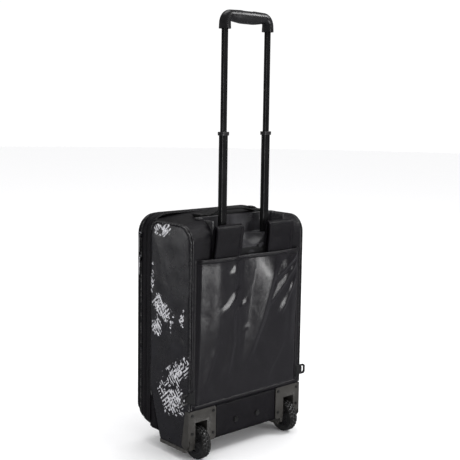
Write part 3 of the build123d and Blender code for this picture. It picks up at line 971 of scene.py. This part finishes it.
lid = {
    "rim": ((-95.4, -1.8), (-95.8, 0.0), (-97.5, 1.0), (-100, 1.2), (-102, 0.4), (-103, -1.0)),
    # across the face: share of the outline, how far it stands out
    "face": (
        (0.97, 0.0006), (0.93, 0.0012), (0.8, 0.0018), (0.6, 0.0022), (0.35, 0.0024),
        (0.12, 0.0024), (0.01, 0.0024),
    ),
    "middle": (0, -0.103, 0.296),
    "piping": (-0.1022, 0.0002, 0.0022),  # y, height off the outline, radius
}
pouch = {
    # a shallow pouch with rounded front edges: x, z and radius of its corners
    "corners": ((-0.170, 0.050, 0.022), (0.170, 0.050, 0.022), (0.170, 0.426, 0.006), (-0.170, 0.426, 0.006)),
    "middle": (0, 0.238),
    # y in mm, share of the outline
    "face": (
        (-103.0, 0.998), (-105.0, 1.0), (-108.0, 0.996), (-110.3, 0.98), (-111.2, 0.95),
        (-111.8, 0.85), (-112.2, 0.65), (-112.6, 0.4), (-112.8, 0.15), (-112.8, 0.01),
    ),
    "rear": -0.1015,
    "toeTop": 0.087,
    "underToe": 0.02,
}
frontZip = {
    "tapeX": (-0.152, 0.168),
    "tapeY": -0.1038,
    "tapeZ": (0.4265, 0.443),
    "teethX": (-0.150, 0.150),
    "teethY": -0.1050,
    # label, z, how far and which way the teeth reach
    "teeth": (("Upper", 0.4371, -0.92), ("Lower", 0.4329, 0.92)),
    "seamX": (-0.15, 0.166),
    "seamY": -0.1046,
    "seams": (("frontZipStitchUpper", 0.4415), ("frontZipStitchLower", 0.4285)),
}


def frontFlat(p):
    # lays a closed front face out flat
    return p.x, p.z - p.y


def makeLid():
    rows = [[p + Vector((0, 0, 0.0006 * ripple(p, 40, 8.2))) for p in row] for row in bandRows(lid["rim"])]
    centre = Vector(lid["middle"])
    for share, dish in lid["face"]:
        ring = [centre + (p - centre) * share + ahead * dish for p in frontLoop(centre.y, -0.001)]
        rows.append([Vector((p.x, p.y + 0.0008 * ripple(p, 22, 5.0), p.z)) for p in ring])
    clothPiece(
        "lidCloth", rows, "nylon", "lid", 0.0018, "nylon", ["lid_panel"], inside="lining",
        loop=True, closeEnds="last", flat=frontFlat,
    )
    y, out, radius = lid["piping"]
    cordPiece("lidPiping", frontLoop(y, out), radius, "trim", "lid", True)


def makeFrontPouch():
    outline = roundedOutline(pouch["corners"], 0.009)
    centre, radius = Vector(pouch["middle"]), front["toe"]
    rows = []
    for y, share in pouch["face"]:
        row = []
        for p in outline:
            q = centre + (p - centre) * share
            toe = max(0.0, pouch["toeTop"] - q.y)
            back = radius - math.sqrt(max(0.0, radius**2 - toe**2)) if toe < radius else pouch["underToe"]
            fold = 0.0012 * ripple((q.x, 0, q.y), 14, 2.0) * smooth(1 - share, 0.0, 0.1)
            row.append(Vector((q.x, min(pouch["rear"], y / 1000 + back * 0.6) + fold, q.y)))
        rows.append(row)
    clothPiece(
        "frontPouch", rows, "nylon", "lid", 0.0014, "nylon", ["front_pocket"],
        loop=True, closeEnds="last", flat=frontFlat,
    )


def makeFrontZip():
    rows = [
        [
            Vector((x, frontZip["tapeY"] - 0.0005 * math.sin(math.pi * k / 4), z))
            for k, z in enumerate(span(*frontZip["tapeZ"], 4))
        ]
        for x in span(*frontZip["tapeX"], 40)
    ]
    clothPiece("frontZipTape", rows, "zip_tape", "lid", 0.001, "zip_tape", ["front_zip_tape"])
    for label, z, reach in frontZip["teeth"]:
        line = [Vector((x, frontZip["teethY"], z)) for x in frontZip["teethX"]]
        data = teethMesh("frontTeeth" + label, line, Vector((0, 0, reach)), lambda p: ahead)
        addPiece("frontTeeth" + label, data, "zipTeeth", "lid", "zip_tape", smooth=False)
    for name, z in frontZip["seams"]:
        stitches(name, [Vector((x, frontZip["seamY"], z)) for x in frontZip["seamX"]], ahead, "lid")


hinge = {
    # y and height off the side, in mm
    "arch": ((-87.5, 0.9), (-89, 1.8), (-91, 2.6), (-92.75, 2.9), (-94.5, 2.6), (-96.5, 1.8), (-98, 0.9)),
    "low": 0.075,
    "high": 0.495,
}


def makeHingeStrip():
    # the fabric hinge between the case and the lid, as a fixed arched strip
    rows = []
    for y, out in hinge["arch"]:
        x = -front["halfWidth"] - out / 1000
        rows.append([Vector((x, y / 1000, z)) for z in span(hinge["low"], hinge["high"], 40)][::-1])
    strip = bpy.data.objects.new("hingeStrip", gridMesh("hingeStrip", rows))
    bpy.context.scene.collection.objects.link(strip)
    strip.data.materials.append(finishes["nylon"])
    thicken(strip, 0.0012)
    settle(strip).data.shade_smooth()
    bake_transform(strip)


makeGusset()
makeZip()
makeLid()
makeFrontPouch()
makeFrontZip()
makeHingeStrip()
print("front section made")


sideLow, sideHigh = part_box("side_panel_right")
rear = {
    "halfWidth": sideHigh.x,
    "back": sideHigh.y,
    "split": sideLow.y,
    "sideTop": sideHigh.z,
    "low": sideLow.z,
    "heel": 0.038,
    "crown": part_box("top_panel")[1].z - sideHigh.z,
}
sideCloth = {
    "middle": (0.017, 0.29),  # y and z
    # y, z and radius of the corners
    "corners": (
        (rear["split"], rear["sideTop"], 0.026),
        (rear["back"], rear["sideTop"], rear["heel"]),
        (rear["back"], rear["low"], 0.024),
        (-0.018, rear["low"], 0.006),
        (rear["split"], 0.140, 0.060),
    ),
    # share of the way in from the edge, height in mm
    "puff": ((0.0, -1.2), (0.006, 0.6), (0.02, 1.5), (0.06, 2.0), (0.2, 2.4), (1.0, 2.6)),
    "clear": (0.118, 0.17),  # the cloth lies flat below, beside the wheels
}
piping = {
    # label, how far in from the side, how far out from the outline, radius
    "ridges": (("Outer", 0.0003, 0.0012, 0.0021), ("Inner", 0.0062, 0.0010, 0.0016)),
    "foot": 0.121,
    "frontFoot": (0.002, 0.5),  # none this close to the split below this height
    "spine": (0.16, 0.46),  # the stretch of the middle line it stands out from
}


def sideShift(y, z, away, side):
    # how far the cloth stands off the board behind it
    clear = smooth(z, *sideCloth["clear"])
    soft = 0.0011 * ripple((y, z, side), 11, 1.3) + 0.0005 * ripple((y, z, side), 34, 4.0)
    puffed = profileAt(sideCloth["puff"], away) / 1000 * (0.25 + 0.75 * clear)
    shift = puffed + soft * clear * smooth(away, 0.0, 0.1)
    return shift * (1 if clear > 0 else 0.4) - 0.0006 * (1 - clear)


def makeSides():
    outline = roundedOutline(sideCloth["corners"], 0.006)
    centre = Vector(sideCloth["middle"])
    shares = [1.0, 0.994, 0.985, 0.975, 0.962, 0.945, 0.92, 0.89]
    shares += [0.85 - 0.05 * k for k in range(17)] + [0.01]
    nearSplit, below = piping["frontFoot"]
    low, high = piping["spine"]
    upper = [p for p in outline if p.y > piping["foot"]]
    start = next(i for i, p in enumerate(upper) if (upper[i - 1] - p).length > 0.05)
    upper = upper[start:] + upper[:start]
    corded = [p for p in upper if not (p.x < rear["split"] + nearSplit and p.y < below)]
    for side, label in bothSides:
        rows = []
        for share in shares:
            row = []
            for p in outline:
                q = centre + (p - centre) * share
                x = rear["halfWidth"] + sideShift(q.x, q.y, 1 - share, side)
                row.append(Vector((side * x, q.x, q.y)))
            rows.append(facing(row, -side))
        clothPiece(
            "sideCloth" + label, rows, "coated_print", "case", 0.0018, "coated_print",
            ["side_panel_" + label.lower()], inside="lining",
            loop=True, closeEnds="last", flat=lambda p: (p.y, p.z),
        )
        for ridge, inward, grow, radius in piping["ridges"]:
            line = []
            for p in corded:
                q = p + (p - Vector((centre.x, min(high, max(low, p.y))))).normalized() * grow
                line.append(Vector((side * (rear["halfWidth"] - inward), q.x, q.y)))
            stands = ["piping_" + label.lower()] if ridge == "Outer" else ()
            cordPiece("piping" + ridge + label, line, radius, "piping", "case", False, "trim", stands)


wrap = {
    "half": 0.1722,
    "low": 0.1184,
    # the part of the back that is air mesh
    "meshHalf": 0.116,
    "meshLow": 0.452,
}
recess = {"half": 0.1105, "front": 0.0425, "floor": 0.503, "scoopZ": 0.528, "scoop": 0.0555}


def wrapPath():
    # the top, the rounded heel and the back, as one line in Y and Z
    heelY, heelZ = rear["back"] - rear["heel"], rear["sideTop"] - rear["heel"]
    path = [Vector((rear["split"] - 0.001, rear["sideTop"])), Vector((heelY, rear["sideTop"]))]
    for k in range(1, 13):
        a = math.radians(90 - 90 * k / 12)
        path.append(Vector((heelY + rear["heel"] * math.cos(a), heelZ + rear["heel"] * math.sin(a))))
    path.append(Vector((rear["back"], wrap["low"])))
    return evenly(path, 0.0045)


def inRecess(c):
    deep = abs(c.x) < recess["half"] and c.y > recess["front"] and c.z > recess["floor"] - 0.001
    scoop = c.y > 0.07 and math.hypot(c.x, c.z - recess["scoopZ"]) < recess["scoop"]
    return deep or scoop


def inAirMesh(c):
    return c.y > 0.08 and abs(c.x) < wrap["meshHalf"] and c.z > wrap["meshLow"]


def makeWrap():
    heelZ = rear["sideTop"] - rear["heel"]
    rows = []
    for p in wrapPath():
        up = smooth(p.y, heelZ, rear["sideTop"])
        back = 1 - up
        row = []
        for x in span(-wrap["half"], wrap["half"], 78):
            bulge = rear["crown"] * (1 - (x / wrap["half"]) ** 2) * up
            soft = 0.0006 * ripple((x, p.x, p.y), 26, 9.0) * smooth(0.172 - abs(x), 0.0, 0.02)
            row.append(Vector((x, p.x + soft * back + 0.0004 * back, p.y + bulge + soft * up)))
        rows.append(row)
    clothPiece(
        "topAndBackCloth", rows, ["nylon", "airMesh"], "case", 0.0018, "nylon", ["top_panel", "back_panel"],
        offset=1.0, inside="lining", skip=inRecess, other=inAirMesh,
    )


kick = {
    # the cloth between the wheels
    "half": 0.0955,
    "y": 0.0862,
    "low": 0.0405,
    "high": 0.118,
    "seam": (0.093, 0.0872, 0.114),
}
floorCloth = {
    "half": 0.1715,
    "front": -0.0555,
    "rear": 0.083,
    "z": 0.0432,
    "wheelCut": (0.1145, -0.0185),  # no cloth beyond this x and behind this y
}


def makeKickCloth():
    rows = []
    for k, z in enumerate(span(kick["low"], kick["high"], 12)):
        swollen = 0.0006 * math.sin(math.pi * k / 12) ** 0.3
        rows.append([
            Vector((x, kick["y"] + swollen * smooth(0.096 - abs(x), 0, 0.01), z))
            for x in span(kick["half"], -kick["half"], 40)
        ])
    clothPiece("kickCloth", rows, "nylon", "case", 0.0016, "nylon", ["kick_panel"])
    x, y, z = kick["seam"]
    stitches("kickStitch", [Vector((-x, y, z)), Vector((x, y, z))], behind, "case")


def makeFloorCloth():
    cutX, cutY = floorCloth["wheelCut"]
    rows = []
    for i, y in enumerate(span(floorCloth["front"], floorCloth["rear"], 30)):
        row = []
        for x in span(floorCloth["half"], -floorCloth["half"], 60):
            sag = 0.001 * math.cos(x * 9) * math.sin(math.pi * i / 30)
            row.append(Vector((x, y, floorCloth["z"] - sag + 0.0005 * ripple((x, y, 0), 25, 6))))
        rows.append(row)
    clothPiece(
        "floorCloth", rows, "nylon", "case", 0.002, "nylon", ["bottom_panel"],
        skip=lambda c: abs(c.x) > cutX and c.y > cutY,
    )


inner = {"half": 0.168, "y": 0.0478, "low": 0.096, "high": 0.497}
packing = {
    "half": 0.15,
    "y": 0.0462,
    "wide": 0.025,
    # label, z, what it stands for
    "straps": (("Lower", 0.2, ["packing_straps"]), ("Upper", 0.35, ())),
}


def makeInside():
    rows = [
        [
            Vector((x, inner["y"] - 0.0006 * ripple((x, 0, z), 12, 7.7) + 0.0004 * math.sin(z * 30), z))
            for x in span(-inner["half"], inner["half"], 40)
        ]
        for z in span(inner["low"], inner["high"], 40)
    ]
    clothPiece("innerLining", rows, "lining", "case", 0.0012, "lining", ["inner_lining"])
    for label, low, stands in packing["straps"]:
        rows = []
        for i, x in enumerate(span(-packing["half"], packing["half"], 40)):
            y = packing["y"] - 0.0014 * math.sin(math.pi * i / 40)
            wavy = 0.001 * math.sin(i * 0.4)
            rows.append([Vector((x, y, z + wavy)) for z in span(low, low + packing["wide"], 4)])
        clothPiece("packingStrap" + label, rows[::-1], "webbing", "case", 0.0012, "webbing", stands)


makeSides()
makeWrap()
makeKickCloth()
makeFloorCloth()
makeInside()
print("rear section made")


pocket = {
    "half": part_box("back_pocket")[1].x,
    "low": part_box("back_pocket")[0].z,
    "hem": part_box("pocket_hem")[1].z,
    "strapX": 0.083,
    "strapHalf": 0.039,
    "proud": 0.0011,
    # the folded hem: height off the pouch, place from the hem's top
    "fold": (
        (-0.0022, -0.0085), (0.00132, -0.0085), (0.00165, -0.004), (0.0011, 0.0), (-0.0004, 0.0012),
        (-0.0022, 0.0),
    ),
    "seam": (0.0019, -0.0062),
}
swell = (
    # across the back, from -X to +X: the cloth's height over the two folded straps, in mm
    (-0.160, 0.0), (-0.128, 6.0), (-0.104, 8.2), (-0.062, 8.4), (0.026, 1.6),
    (0.042, 4.2), (0.060, 8.6), (0.100, 9.6), (0.154, 0.6), (0.160, 0.0),
)
creases = (
    # from, to (x, z), width of the upper flank at the start, at the end, its slope
    ((-0.152, 0.446), (-0.060, 0.392), 0.010, 0.030, 0.26),
    ((-0.152, 0.428), (-0.050, 0.334), 0.008, 0.022, 0.27),
    ((-0.154, 0.404), (-0.098, 0.312), 0.007, 0.016, 0.27),
    ((-0.066, 0.434), (-0.004, 0.222), 0.056, 0.026, 0.22),
    ((0.036, 0.386), (0.088, 0.334), 0.011, 0.015, 0.27),
    ((0.040, 0.448), (0.068, 0.418), 0.010, 0.012, 0.26),
    ((0.010, 0.352), (0.044, 0.332), 0.010, 0.010, 0.24),
    ((-0.030, 0.300), (0.016, 0.286), 0.010, 0.012, 0.16),
    ((0.050, 0.280), (0.068, 0.180), 0.022, 0.018, 0.10),
    ((0.108, 0.250), (0.128, 0.170), 0.020, 0.014, 0.12),
    ((-0.110, 0.230), (-0.060, 0.150), 0.020, 0.022, 0.06),
)
binding = {
    "sideLifts": (0.0006, 0.0022, 0.0026, 0.0022, 0.0006),
    "lowLifts": (0.0006, 0.002, 0.0022, 0.001),
    "wide": 0.0085,
    "widerBelow": 0.004,
    "overlap": 0.0035,
}


def creaseLift(x, z):
    # sharp folds: a wide upper flank, a steep lower one
    height = 0.0
    spot = Vector((x, z))
    for start, end, near, far, slope in creases:
        a, b = Vector(start), Vector(end)
        along = b - a
        t = (spot - a).dot(along) / along.length_squared
        wide = near + (far - near) * min(1.0, max(0.0, t))
        upper = along.cross(spot - a) / along.length + 0.002 * ripple((t * 0.4, slope, near * 40), 5, 3.3)
        reach = wide if upper > 0 else wide * 0.5
        rise = max(0.0, 1 - math.hypot(upper / reach, 0.12))
        ends = smooth(t, -0.1, 0.2) * (1 - smooth(t, 0.75, 1.2))
        height = max(height, slope * wide * rise * ends)
    return height


def pocketDepth(x, z):
    # the pouch tapers down, swells over the folded straps and lies flat at its seams
    up = (z - pocket["low"]) / (pocket["hem"] - pocket["low"])
    base = 0.0030 + 0.0065 * up + profileAt(swell, x) / 1000 * smooth(z, 0.16, 0.32)
    toSide = smooth(pocket["half"] - abs(x), 0.0, 0.010)
    toLow = smooth(z - pocket["low"], 0.0, 0.012)
    rumples = 0.0010 * ripple((x, 0, z), 9, 5.5, 2) + 0.0003 * ripple((x * 1.4, 0, z), 30, 2.5, 2)
    folds = creaseLift(x, z) + rumples
    calm = smooth(pocket["hem"] - z, 0.0, 0.016)
    return toSide * toLow * (base + folds * (0.2 + 0.8 * calm))


def makeBackPocket():
    half, low, high, back = pocket["half"], pocket["low"], pocket["hem"], rear["back"]
    rows = [
        [Vector((x, back + pocket["proud"] + pocketDepth(x, z), z)) for x in span(half, -half, 108)]
        for z in span(low, high - 0.002, 110)
    ]
    clothPiece("backPouch", rows, "pocketNylon", "case", 0.0009, "nylon", ["back_pocket"])
    mouth = rows[-1]
    hem = [[Vector((p.x, p.y + lift, high + z)) for lift, z in pocket["fold"]] for p in mouth]
    data = gridMesh("pocketHem", hem, loop=True, closeEnds=True)
    addPiece("pocketHem", data, "trim", "case", "trim", ["pocket_hem"])
    lift, down = pocket["seam"]
    stitches("hemStitch", [Vector((p.x, p.y + lift, high + down)) for p in mouth][::-1], behind, "case")


def makePocketBindings():
    half, low, high, back = pocket["half"], pocket["low"], pocket["hem"], rear["back"]
    for side, label in bothSides:
        rows = []
        for k, z in enumerate(span(low - 0.001, high, 45)):
            wide = binding["wide"] + binding["widerBelow"] * (1 - k / 45)
            row = []
            for i, lift in enumerate(binding["sideLifts"]):
                x = min(half - binding["overlap"] + wide * i / 4, rear["halfWidth"] - 0.003)
                row.append(Vector((side * x, back + lift + 0.0003, z)))
            rows.append(facing(row, -side))
        clothPiece("pocketBinding" + label, rows, "trim", "case", 0.0012)
    rows = [
        [Vector((x, back + lift, low - 0.004 + 0.009 * k / 3)) for k, lift in enumerate(binding["lowLifts"])]
        for x in span(-half - 0.003, half + 0.003, 60)
    ]
    clothPiece("pocketLowBinding", rows, "trim", "case", 0.001, offset=1.0)


def bandSection(half, thick, count):
    # a padded strap's section: pillowed faces and fuller bound edges
    top = []
    for u in span(-1, 1, count - 1):
        edge = smooth(abs(u), 0.82, 1.0)
        groove = 0.35 * math.exp(-((abs(u) - 0.84) / 0.045) ** 2)
        top.append((u * half, thick / 2 * (1 - 0.22 * abs(u) ** 3 + 0.12 * edge - groove)))
    return top + [(half * 1.012, 0.0)] + [(u, -v) for u, v in reversed(top)] + [(-half * 1.012, 0.0)]


def strapRows(path, section, wideAxis, soft, seed):
    rows = []
    for i, p in enumerate(path):
        along = (path[min(i + 1, len(path) - 1)] - path[max(i - 1, 0)]).normalized()
        out = wideAxis.cross(along).normalized()
        row = []
        for u, v in section:
            q = p + wideAxis * u + out * v
            row.append(q + out * soft * ripple(q, 30, seed))
        rows.append(row)
    return rows


def curveThrough(points, step):
    # an even line along a smooth curve through the points
    spots = []
    for i in range(len(points) - 1):
        a, b, c, d = (Vector(points[min(len(points) - 1, max(0, i + k))]) for k in (-1, 0, 1, 2))
        for k in range(12):
            t = k / 12
            squared = (2 * a - 5 * b + 4 * c - d) * t * t
            cubed = (3 * b - a - 3 * c + d) * t**3
            spots.append(0.5 * (2 * b + (c - a) * t + squared + cubed))
    spots.append(Vector(points[-1]))
    return evenly(spots, step)


strap = {
    "thick": 0.0052,
    # y and z: up from behind the pouch, folded over at the top and down into it
    "path": (
        (0.0895, 0.474), (0.0895, 0.500), (0.0905, 0.522), (0.0962, 0.5305), (0.1016, 0.524), (0.1022, 0.505),
        (0.0995, 0.462), (0.0952, 0.430), (0.0922, 0.360), (0.0908, 0.300), (0.0898, 0.238),
    ),
    "lean": {1: 0.010, -1: 0.005},
    "seams": ((-1, "Inner"), (1, "Outer")),
    "seamIn": 0.0052,
}


def makeStraps():
    section = bandSection(pocket["strapHalf"], strap["thick"], 25)
    outward = Vector((0, 1, 0.1)).normalized()
    for side, label in bothSides:
        path = [
            (side * pocket["strapX"] - strap["lean"][side] * smooth(z, 0.40, 0.53), y, z)
            for y, z in strap["path"]
        ]
        path = curveThrough(path, 0.0045)
        name = "shoulderStrap" + label
        rows = strapRows(path, section, Vector((1, 0, 0)), 0.0005, 3 + side)
        data = gridMesh(name, rows, loop=True, closeEnds=True)
        stands = ["shoulder_strap_" + label.lower()]
        piece = addPiece(name, data, "strap_cloth", "case", "strap_cloth", stands)
        shown = [p for p in path if p.z > 0.452 and p.y > 0.0955]
        for edge, place in strap["seams"]:
            shift = Vector((edge * (pocket["strapHalf"] - strap["seamIn"]), strap["thick"] / 2 * 0.86, 0))
            stitches("strapStitch" + label + place, [p + shift for p in shown], outward, "case")


carry = {
    "y": 0.014,
    "half": 0.015,
    "thick": 0.0042,
    # x and z of one half, from its end to the middle
    "path": (
        (0.098, 0.5455), (0.086, 0.5462), (0.070, 0.5482), (0.052, 0.5532), (0.034, 0.5566), (0.0, 0.5578),
    ),
}
anchor = {
    # the stitched patches at the handle's ends
    "x": (0.0825, 0.1015),
    "half": 0.0168,
    "z": 0.5482,
    "bulge": 0.0010,
    "seamX": (0.0845, 0.0995),
    "seamHalf": 0.014,
    "seamZ": 0.5498,
}


def makeCarryHandle():
    points = list(carry["path"])
    points += [(-x, z) for x, z in points[-2::-1]]
    path = curveThrough([(x, carry["y"], z) for x, z in points], 0.004)
    rows = strapRows(path, bandSection(carry["half"], carry["thick"], 13), behind, 0.0003, 9)
    data = gridMesh("carryStrap", rows, loop=True, closeEnds=True)
    piece = addPiece("carryStrap", data, "webbing", "case", "webbing", ["carry_handle"])
    wide = [carry["y"] + y for y in span(-anchor["half"], anchor["half"], 8)]
    swollen = [math.sin(math.pi * i / 8) ** 0.4 for i in range(9)]
    near, far = anchor["seamX"]
    reach = anchor["seamHalf"]
    # a box with its two diagonals
    box = [(near, -reach), (far, -reach), (far, reach), (near, reach)]
    box += [(near, -reach), (far, reach), (far, -reach), (near, reach)]
    for side, label in bothSides:
        rows = []
        for x, across in zip(span(*anchor["x"], 8), swollen):
            rows.append([
                Vector((side * x, y, anchor["z"] + anchor["bulge"] * across * lift))
                for y, lift in zip(wide, swollen)
            ])
        stands = ["handle_anchors"] if side > 0 else ()
        clothPiece("carryAnchor" + label, facing(rows, side), "trim", "case", 0.0012, "trim", stands)
        line = [Vector((side * x, carry["y"] + y, anchor["seamZ"])) for x, y in box]
        stitches("carryStitch" + label, line, Vector((0, 0, 1)), "case")


ringTab = {
    "z": 0.149,
    # x, y and half the width, from the back edge out, round the bar and back in
    "path": (
        (0.160, 0.0885, 0.0165), (0.168, 0.0888, 0.0145), (0.1745, 0.0890, 0.0110),
        (0.1785, 0.0889, 0.0078), (0.1815, 0.0889, 0.0066), (0.1841, 0.0873, 0.0064),
        (0.1848, 0.0855, 0.0064), (0.1841, 0.0836, 0.0064), (0.1815, 0.0821, 0.0066),
        (0.1775, 0.0826, 0.0072),
    ),
    "seam": (0.1645, 0.0903, 0.013),
}


def makeRingTabs():
    # folded tabs, sewn flat on the back edge and closed round each ring's bar
    seamX, seamY, seamHalf = ringTab["seam"]
    for side, label in bothSides:
        rows = [
            [Vector((side * x, y, ringTab["z"] + half * (k / 4 - 1))) for k in range(9)]
            for x, y, half in ringTab["path"]
        ]
        stands = ["ring_tabs"] if side > 0 else ()
        clothPiece("ringTab" + label, facing(rows, side), "webbing", "case", 0.0011, "webbing", stands, 1.0)
        line = [Vector((side * seamX, seamY, ringTab["z"] + z)) for z in (-seamHalf, seamHalf)]
        stitches("ringTabStitch" + label, line, behind, "case")


makeBackPocket()
makePocketBindings()
makeStraps()
makeCarryHandle()
makeRingTabs()
print("soft fittings made")


wheel = {
    "radius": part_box("tyre_right")[1].z / 2,
    "half": 0.0115,
    "blocks": 26,
    "groove": 0.0021,
    "bore": 0.0255,
    "shoulder": 0.0035,
    # places across the tread, as shares of its half width
    "stops": (
        -1.0, -0.97, -0.9, -0.72, -0.5, -0.46, -0.16, -0.12, 0.12, 0.16, 0.46, 0.5, 0.72, 0.9, 0.97, 1.0,
    ),
    "grooveAt": (0.5, 0.12),
}
hub = {
    # a dished disc with spokes on both faces: radius, x off the middle, share of the dish
    "section": (
        (0.00305, 0.0170, 0), (0.0078, 0.0170, 0), (0.0082, 0.0105, 0), (0.0092, 0.0098, 0),
        (0.0108, 0.0098, 1), (0.0198, 0.0098, 1), (0.0212, 0.0098, 0), (0.0250, 0.0102, 0),
    ),
    "spokes": 5,
    "dish": 0.0042,
}


def turnedMesh(name, centre, rings):
    # a mesh turned about the axle; each ring is an angle and its (x, radius) pairs
    rows = [
        [
            Vector((centre.x + x, centre.y + radius * math.sin(angle), centre.z + radius * math.cos(angle)))
            for x, radius in section
        ]
        for angle, section in rings
    ]
    return gridMesh(name, rows, tube=True, loop=True)


def treadRings():
    count = wheel["blocks"] * 6
    inside = (wheel["half"] * 0.94, wheel["bore"])
    for k in range(count):
        section = [(-inside[0], inside[1])]
        for u in wheel["stops"]:
            radius = wheel["radius"] - wheel["shoulder"] * smooth(abs(u), 0.55, 1.0) ** 2 - 0.0002
            stagger = 0 if abs(u) < 0.3 else 3
            inGap = (k + stagger) % 6 in (0, 1)
            if abs(u) < 0.93 and (inGap or abs(u) in wheel["grooveAt"]):
                radius -= wheel["groove"]
            section.append((wheel["half"] * u, radius))
        yield 2 * math.pi * k / count, section + [inside]


def hubRings():
    for k in range(90):
        angle = 2 * math.pi * k / 90
        spoke = 0.5 + 0.5 * math.cos(hub["spokes"] * angle)
        dish = hub["dish"] * (1 - smooth(spoke, 0.45, 0.75))
        face = [(x - dish * share, radius) for radius, x, share in hub["section"]]
        yield angle, face + [(-x, radius) for x, radius in face[::-1]]


def makeWheels():
    for _, label in bothSides:
        node = label.lower()
        low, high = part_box("tyre_" + node)
        for name, rings, finish, stands in (
            ("tread", treadRings(), "tyre", "tyre_"),
            ("hub", hubRings(), "hub", "hub_"),
        ):
            data = turnedMesh(name + label, (low + high) / 2, rings)
            piece = "hubDisc" if name == "hub" else name
            addPiece(piece + label, data, finish, "wheel_" + node, finish, [stands + node])
            data.set_sharp_from_angle(angle=math.radians(35))


grip = {
    "legX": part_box("grip_lower")[1].x - 0.0125,
    "y": sum(v.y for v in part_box("grip_lower")) / 2,
    "z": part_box("grip_lower")[1].z,
    "cuts": [0.004 * k for k in range(-15, 16)],
}


def palmSwell(p):
    # the bar fills the palm, more below than above, and the legs widen towards their sockets
    full = smooth(1 - abs(p.x) / (grip["legX"] - 0.008), 0.0, 0.75)
    below = p.z < grip["z"] + 0.00001
    leg = smooth(grip["z"] - p.z, 0.004, 0.026) * smooth(abs(p.x), grip["legX"] - 0.02, grip["legX"] - 0.0125)
    side = math.copysign(grip["legX"], p.x)
    return Vector((
        side + (p.x - side) * (1 + 0.12 * leg),
        grip["y"] + (p.y - grip["y"]) * (1 + 0.12 * full + 0.10 * leg),
        grip["z"] + (p.z - grip["z"]) * (1 + (0.34 if below else 0.1) * full * (1 - leg)),
    ))


makeWheels()
for name in ("wheel_housing_right", "wheel_housing_left", "front_foot_right", "front_foot_left"):
    easedCopy(name, 0.0009)
for name in ("handle_housing", "stage_button", "stage_collars", "ring_right", "ring_left"):
    easedCopy(name, 0.0006)
for name in ("grip_upper", "grip_lower"):
    easedCopy(name, 0.0006, cuts=grip["cuts"], mould=palmSwell)
for fitting in ("slider", "pull"):
    for name in ("main_" + fitting + "_upper", "main_" + fitting + "_lower", "front_" + fitting):
        easedCopy(name, 0.0005)
for name, node in nodes.items():
    if not node.hide_render:
        node.data.materials.clear()
        node.data.materials.append(finishes[slotOf[name]])
print("hard parts finished")
